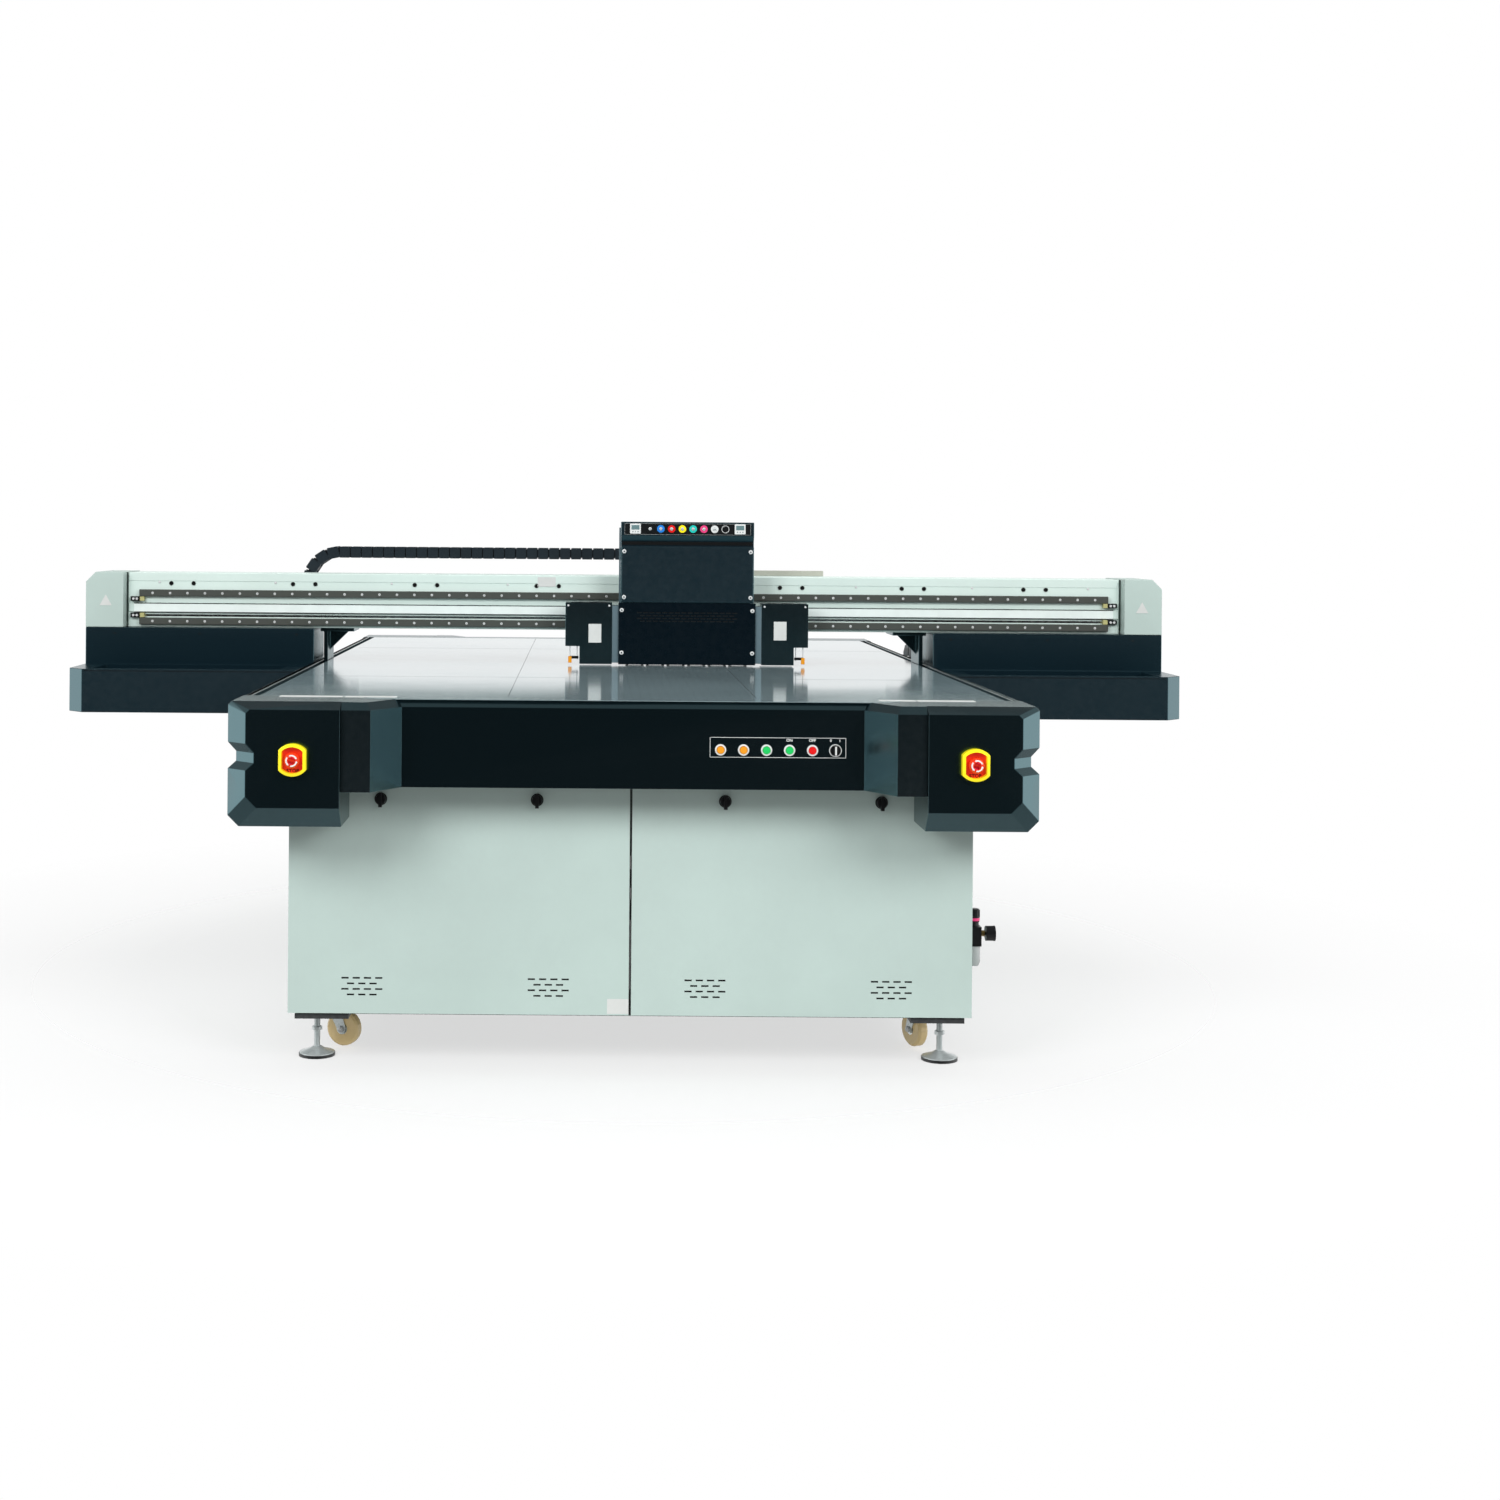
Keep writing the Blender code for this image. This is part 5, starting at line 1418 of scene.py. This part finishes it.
@dataclass
class ControlPanel:
    """The border round the buttons, with white rings and plain legends."""

    margin_x: float = 0.0285
    low: float = 0.0205
    high: float = 0.0335
    behind_rings: float = 0.0070
    border: float = 0.0011
    legend_rise: float = 0.0262

    def build(self) -> None:
        """Builds the border, the rings and the legends."""
        buttons, key = [Box(f"push_button_{i}") for i in range(1, 6)], Box("key_switch")
        first, t = buttons[0], self.border
        y = first.y1 - self.behind_rings
        x0, x1 = first.x - self.margin_x, key.x + self.margin_x
        z0, z1 = first.z - self.low, first.z + self.high
        line = Piece("panel_border", Finish.WHITE)
        for left, low, right, high in ((x0, z0, x1, z0 + t), (x0, z1 - t, x1, z1),
                                       (x0, z0, x0 + t, z1), (x1 - t, z0, x1, z1)):
            line.box((left, y - 0.0006, low), (right, y + 0.0004, high))
        line.place(Body.BASE)
        rings, wells = Piece("button_rings", Finish.WHITE), Piece("button_wells", Finish.BRIGHT)
        for button in buttons:
            place = (button.x, y, button.z)
            rings.ring(place, Axis.Y, (0.0108, 0.0150), (-0.0066, 0.0002), 36)
            wells.ring(place, Axis.Y, (0.0086, 0.0112), (-0.0008, 0.0002))
        rings.ring((key.x, y, key.z), Axis.Y, (0.0149, 0.0168), (-0.0050, 0.0002), 36)
        rings.place(Body.BASE, 0.0005)
        wells.place(Body.BASE)
        pointer = Piece("key_pointer", Finish.WHITE)
        pointer.tile(key.x, key.z + 0.00015, (0.0022, 0.01165), key.y0 - 0.0008, key.y0 + 0.001)
        pointer.place("key_switch", 0.0004)
        for name, text, size, spot, shift in (
            ("legend_4", "ON", 0.0105, buttons[3], 0.0),
            ("legend_5", "OFF", 0.0105, buttons[4], 0.0),
            ("legend_key_0", "0", 0.0095, key, -0.012),
            ("legend_key_1", "1", 0.0095, key, 0.012),
        ):
            place = (spot.x + shift, y - 0.0004, spot.z + self.legend_rise)
            words(name, text, size, place, Finish.WHITE)


@dataclass
class Cabinet:
    """Painted shade behind the front panels' vents, the panels' gaskets and washers, side screws,
    and the rear's openings.
    """

    vents: Pair = (0.216, 0.730)
    vent_shift: float = 0.009
    latch_drop: float = 0.045
    screw_radius: float = 0.0055
    rear_vents: float = 0.55
    inlet: Pair = (0.17, 0.32)

    def build(self) -> None:
        """Builds all of it."""
        left = Box("front_panel_left")
        label = Piece("panel_label", Finish.LABEL)
        label.box((left.x1 - 0.062, left.y0 - 0.0005, left.z0 + 0.004),
                  (left.x1 - 0.003, left.y0 + 0.0003, left.z0 + 0.045)).place("front_panel_left")
        for side, name in SIDES:
            self.front(side, name)
        for _, name in SIDES:
            self.latch_washers(name)
        for side, name in SIDES:
            self.side(side, name)
        self.rear()

    def front(self, side: int, name: str) -> None:
        """Builds a near-black sheet behind each group of vents, painted shade that darkens the
        slots, and a panel's gasket.

        Args:
            side: -1 for the left panel, 1 for the right.
            name: "left" or "right".
        """
        body, panel = f"front_panel_{name}", Box(f"front_panel_{name}")
        y, z0 = panel.y0, panel.z0
        back = Piece(f"vent_filter_{name}", Finish.HOLLOW)
        gasket = Piece(f"panel_gasket_{name}", Finish.HOLLOW)
        # painted shade: a near-black sheet just behind the vent slots makes them read dark
        for distance in self.vents:
            x = side * distance - self.vent_shift
            back.tile(x, z0 + 0.075, (0.066, 0.035), y + 0.0006, y + 0.0022)
        gasket.box((side * 0.0003, y - 0.0004, z0 + 0.001),
                   (side * 0.0031, y + 0.012, panel.z1 - 0.001))
        place_all(body, back, gasket)

    def latch_washers(self, name: str) -> None:
        """Builds the washer behind each wing latch of one panel.

        Args:
            name: "left" or "right".
        """
        body, panel = f"front_panel_{name}", Box(f"front_panel_{name}")
        for number in (1, 2):
            place = (Box(f"{body}_latch_{number}").x, panel.y0, panel.z1 - self.latch_drop)
            washer = Piece(f"latch_washer_{name}_{number}", Finish.PLASTIC)
            washer.ring(place, Axis.Y, (0.0145, 0.0175), (-0.0018, 0.0002), 24).place(body, 0.0004)

    def side(self, side: int, name: str) -> None:
        """Builds the screws along one side panel, and its joints.

        Args:
            side: -1 for the left panel, 1 for the right.
            name: "left" or "right".
        """
        panel = Box(f"side_panel_{name}")
        outer, length = panel.edge(side), panel.y1 - panel.y0
        heads = Piece(f"side_screws_{name}", Finish.SCREW)
        seams = Piece(f"side_seams_{name}", Finish.HOLLOW)
        for i in range(7):
            y = panel.y0 + 0.04 + i * (length - 0.08) / 6
            for z in (panel.z0 + 0.025, panel.z1 - 0.075):
                heads.stud((outer, y, z), Axis.X, self.screw_radius, 0.0016)
        for third in (1, 2):
            y = panel.y0 + third / 3 * length
            seams.box((outer, y - 0.0012, panel.z0), (outer + side * 0.0003, y + 0.0012, panel.z1))
        place_all(Body.BASE, heads, seams)

    def rear(self) -> None:
        """Builds the rear panel's seam, vents as near-black strips of painted shade, screws and
        power inlet.
        """
        panel = Box("rear_panel")
        y, (x, z) = panel.y1, self.inlet
        dark = Piece("rear_openings", Finish.HOLLOW)
        dark.tile(panel.x, panel.z, (0.001, (panel.z1 - panel.z0) / 2), y - 0.0002, y + 0.0003)
        # painted shade: each vent slot is a near-black strip on the panel's face
        for side, _ in SIDES:
            for row in range(8):
                for i in range(9 - row % 2):
                    place = side * self.rear_vents + (i - (8 - row % 2) / 2) * 0.031
                    dark.tile(place, panel.z0 + 0.10 + row * 0.0153, (0.010, 0.0019), y - 0.0002,
                              y + 0.0004)
        dark.place(Body.BASE)
        inlet = Piece("power_inlet", Finish.PLASTIC).tile(x, z, (0.05, 0.04), y, y + 0.006)
        inlet.turned([(0.030, -0.001), (0.030, 0.022), (0.026, 0.026)], (x, y + 0.004, z), Axis.Y,
                     32)
        inlet.place(Body.BASE, 0.0015)
        screws = Piece("rear_screws", Finish.SCREW)
        for x in (panel.x0 + 0.03, -0.05, 0.05, panel.x1 - 0.03):
            for z in (panel.z0 + 0.03, panel.z1 - 0.03):
                screws.stud((x, y, z), Axis.Y, self.screw_radius, 0.0016)
        screws.place(Body.BASE)


@dataclass
class Undercarriage:
    """Threads and soles of the feet, and the races, axle nuts and hub rings of the casters."""

    thread_pitch: float = 0.0025
    thread: Pair = (0.030, 0.121)
    lock_nut: Pair = (0.070, 0.0825)

    def build(self) -> None:
        """Builds all four corners."""
        for end in ("front", "rear"):
            for _, side in SIDES:
                self.foot(f"levelling_foot_{end}_{side}")
                self.caster(f"caster_{end}_{side}")

    def foot(self, node: str) -> None:
        """Builds a foot's threads and rubber sole.

        Args:
            node: The foot's node.
        """
        place = (Box(node).x, Box(node).y, 0.0)
        threads = Piece(f"{node}_threads", Finish.STEEL)
        sole = Piece(f"{node}_sole", Finish.PLASTIC)
        z = self.thread[0]
        while z < self.thread[1]:
            if not self.lock_nut[0] < z < self.lock_nut[1]:
                threads.turned([(0.0080, z - 0.0008), (0.0088, z), (0.0080, z + 0.0008)], place,
                               Axis.Z, 16)
            z += self.thread_pitch
        sole.ring(place, Axis.Z, (0.0498, 0.0512), (0.0005, 0.0085), 40)
        place_all(Body.BASE, threads, sole)

    def caster(self, name: str) -> None:
        """Builds a caster's swivel race, axle nuts and hub rings.

        Args:
            name: The caster's name.
        """
        joints = {joint["name"]: joint for joint in frame["joints"]}
        swivel, roll = joints[f"{name}_swivel"], joints[f"{name}_roll"]
        race = Piece(f"{name}_race", Finish.STEEL)
        race.ring(swivel["pos_m"], Axis.Z, (0.0285, 0.0315), (-0.0105, -0.0025), 36)
        race.place(f"{name}_fork", 0.0008)
        turn = Vector((0, 0, 1)).rotation_difference(Vector(roll["axis"]).normalized())
        matrix = Matrix.Translation(roll["pos_m"]) @ turn.to_matrix().to_4x4()
        nuts = Piece(f"{name}_axle_nuts", Finish.SCREW)
        hubs = Piece(f"{name}_hub_rings", Finish.BRIGHT)
        for side, _ in SIDES:
            heights = sorted((side * 0.0155, side * 0.0168))
            nuts.turned([(0.0085, side * 0.0222), (0.0085, side * 0.0275), (0.0060, side * 0.0285)],
                        (0, 0, 0), Axis.Z, 6)
            hubs.ring((0, 0, 0), Axis.Z, (0.0120, 0.0165), heights, 28)
        for piece, body in ((nuts, f"{name}_fork"), (hubs, f"{name}_wheel")):
            bmesh.ops.transform(piece.bm, matrix=matrix, verts=piece.bm.verts)
            piece.place(body)


@dataclass
class AirRegulator:
    """The regulator's bowl, the knob's band and ribs, and its gauge."""

    rib_count: int = 16
    rib_circle: float = 0.0150
    gauge_height: float = 0.367

    def build(self) -> None:
        """Builds all of it."""
        face_x, knob = Box("air_regulator").x1, Box("regulator_knob")
        x, y, low = knob.x, knob.y, knob.z0
        bowl = Piece("regulator_bowl", Finish.BOWL)
        bowl.turned([(0.0125, 0.277), (0.0170, 0.286), (0.0170, 0.3325)], (x, y, 0), Axis.Z, 28)
        bowl.place(Body.BASE)
        band, ribs = Piece("regulator_band", Finish.PINK), Piece("regulator_ribs", Finish.PLASTIC)
        band.ring((x, y, 0), Axis.Z, (0.0150, 0.0158), (low + 0.004, low + 0.012), 28)
        for i in range(self.rib_count):
            a = 2 * math.pi * i / self.rib_count
            place = (x + self.rib_circle * math.cos(a), y + self.rib_circle * math.sin(a), 0)
            ribs.turned([(0.0011, low + 0.014), (0.0011, low + 0.033)], place, Axis.Z, 6)
        place_all("regulator_knob", band, ribs)
        place = (face_x, y, self.gauge_height)
        face, rim = Piece("gauge_face", Finish.WHITE), Piece("gauge_rim", Finish.PLASTIC)
        face.turned([(0.0175, -0.0006), (0.0175, 0.0002)], place, Axis.X, 32)
        rim.ring(place, Axis.X, (0.0178, 0.0215), (-0.004, 0.0))
        collar = Piece("gauge_collar", Finish.BRASS)
        collar.ring((face_x - 0.0325, *place[1:]), Axis.X, (0.0051, 0.0085), (-0.006, 0.004), 6)
        place_all(Body.BASE, face, rim, collar)


# Camera and light


@dataclass(frozen=True)
class SoftBox:
    """A soft area light."""

    name: str
    place: Point
    target: Point
    size: Pair
    power: float

    def build(self) -> None:
        """Adds the light."""
        lamp = bpy.data.lights.new(self.name, "AREA")
        lamp.shape, lamp.size, lamp.size_y = "RECTANGLE", *self.size
        lamp.energy = self.power
        made = bpy.data.objects.new(self.name, lamp)
        made.location = self.place
        towards = Vector(self.target) - Vector(self.place)
        made.rotation_euler = towards.to_track_quat("-Z", "Y").to_euler()
        made.visible_glossy = False
        bpy.context.scene.collection.objects.link(made)


@dataclass
class Studio:
    """A bright white studio, seen from the front at standing height."""

    camera_place: Point = (-0.125, -7.215, 1.493)
    roll_deg: float = 0.44
    lens: float = 50.06
    shift: Pair = (0.108, -0.1473)
    diffuse_light: float = 0.42
    floor_radius: float = 6.0
    floor_fade: Pair = (1.6, 3.2)
    floor_alpha: Pair = (0.34, 0.0)
    lights: tuple[SoftBox, ...] = (
        SoftBox("top_light", (0.2, -0.6, 4.8), (0.0, -0.2, 0.9), (5.0, 4.0), 70.0),
        SoftBox("front_left_light", (-3.4, -6.0, 3.7), (-0.3, -1.0, 0.7), (3.0, 2.2), 222.0),
        SoftBox("front_right_light", (3.6, -6.0, 3.6), (0.4, -1.0, 0.7), (3.0, 2.2), 195.0),
        SoftBox("rear_light", (0.5, 5.6, 4.2), (0.0, 0.8, 0.8), (4.0, 2.4), 170.0),
    )

    def build(self) -> None:
        """Adds the camera, the lights, the floor and the background."""
        self.camera()
        self.background()
        self.floor()
        for light in self.lights:
            light.build()
        view = bpy.context.scene.view_settings
        view.view_transform, view.look = "Standard", "None"
        view.exposure, view.gamma = 0.0, 1.0

    def camera(self) -> None:
        """Adds the camera."""
        lens = bpy.data.cameras.new("camera")
        lens.lens, lens.sensor_width = self.lens, 36.0
        lens.shift_x, lens.shift_y = self.shift
        lens.clip_end = 100.0
        made = bpy.data.objects.new("camera", lens)
        level = Matrix.Translation(self.camera_place) @ Matrix.Rotation(UPRIGHT, 4, "X")
        made.matrix_world = level @ Matrix.Rotation(math.radians(self.roll_deg), 4, "Z")
        bpy.context.scene.collection.objects.link(made)
        bpy.context.scene.camera = made

    def background(self) -> None:
        """Makes the background white to the camera, softer as a light, and varied in mirrors."""
        world = bpy.data.worlds.new("studio")
        bpy.context.scene.world = world
        world.use_nodes = True
        tree = world.node_tree
        tree.nodes.clear()
        place = add_node(tree, "TexCoord").outputs["Generated"]
        way = add_node(tree, "SeparateXYZ", {"Vector": place}).outputs
        behind = add_range(tree, way["Y"], (-0.95, -0.40), (0.008, 1.0))
        beside = add_range(tree, way["Y"], (0.15, 0.60), (1.8, 1.05))
        level = add_range(tree, add_math(tree, "ABSOLUTE", way["Z"]), (0.20, 0.60), (1.0, 0.14))
        walls = add_math(tree, "MULTIPLY", behind, beside)
        mirrored = add_math(tree, "MULTIPLY", walls, level)
        path = add_node(tree, "LightPath").outputs
        shiny = add_math(tree, "MAXIMUM", path["Is Glossy Ray"], path["Is Transmission Ray"])
        links = {0: shiny, 2: self.diffuse_light, 3: mirrored}
        soft = add_node(tree, "Mix", links, data_type="FLOAT").outputs[0]
        links = {0: path["Is Camera Ray"], 2: soft, 3: 1.0}
        strength = add_node(tree, "Mix", links, data_type="FLOAT").outputs[0]
        white = {"Color": (1.0, 1.0, 1.0, 1.0), "Strength": strength}
        back = add_node(tree, "Background", white).outputs[0]
        add_node(tree, "OutputWorld", {0: back})

    def floor(self) -> None:
        """Adds a pale round floor that fades out away from the machine."""
        shape = bmesh.new()
        bmesh.ops.create_circle(shape, cap_ends=True, segments=96, radius=self.floor_radius,
                                matrix=Matrix.Translation((0, 0, -0.0005)))
        mesh = bpy.data.meshes.new("studio_floor")
        shape.to_mesh(mesh)
        shape.free()
        made = bpy.data.objects.new("studio_floor", mesh)
        bpy.context.scene.collection.objects.link(made)
        s = Shader("studio_floor")
        place = add_node(s.tree, "TexCoord").outputs["Object"]
        away = add_node(s.tree, "VectorMath", {0: place}, operation="LENGTH").outputs["Value"]
        fade = add_range(s.tree, away, self.floor_fade, self.floor_alpha)
        mesh.materials.append(s.set(Base_Color=(0.93, 0.94, 0.94, 1.0), Roughness=0.75, Alpha=fade))


@dataclass
class CableChains:
    """The gantry's chain along the table, and the head's chain along the beam."""

    head_end: float = 0.120

    def build(self) -> None:
        """Builds both chains."""
        across, along = Box("x_cable_chain"), Box("y_cable_chain")
        head_chain = DragChain("x_cable_chain", Axis.X, Body.GANTRY, Body.SLIDE)
        head_chain.build(Box("x_slide").x0 + self.head_end, across.x1, across.x0)
        gantry_chain = DragChain("y_cable_chain", Axis.Y, Body.BASE, Body.GANTRY)
        gantry_chain.build(Box("end_cover_right").y1, along.y0, along.y1)


def main() -> None:
    """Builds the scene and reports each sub-assembly's pieces."""
    logging.basicConfig(level=logging.INFO)
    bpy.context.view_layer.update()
    Studio().build()
    for part in (CarriedFinishes(), GuideRails(), BeamFittings(), PrintHead(), CableChains(),
                 TableDetails(), CoverFixings(), StopStations(), ControlPanel(), Cabinet(),
                 Undercarriage(), AirRegulator()):
        before = set(bpy.data.objects.keys())
        part.build()
        for name in sorted(set(bpy.data.objects.keys()) - before):
            log.info("%s built %s", type(part).__name__, name)


if __name__ == "__main__":
    main()
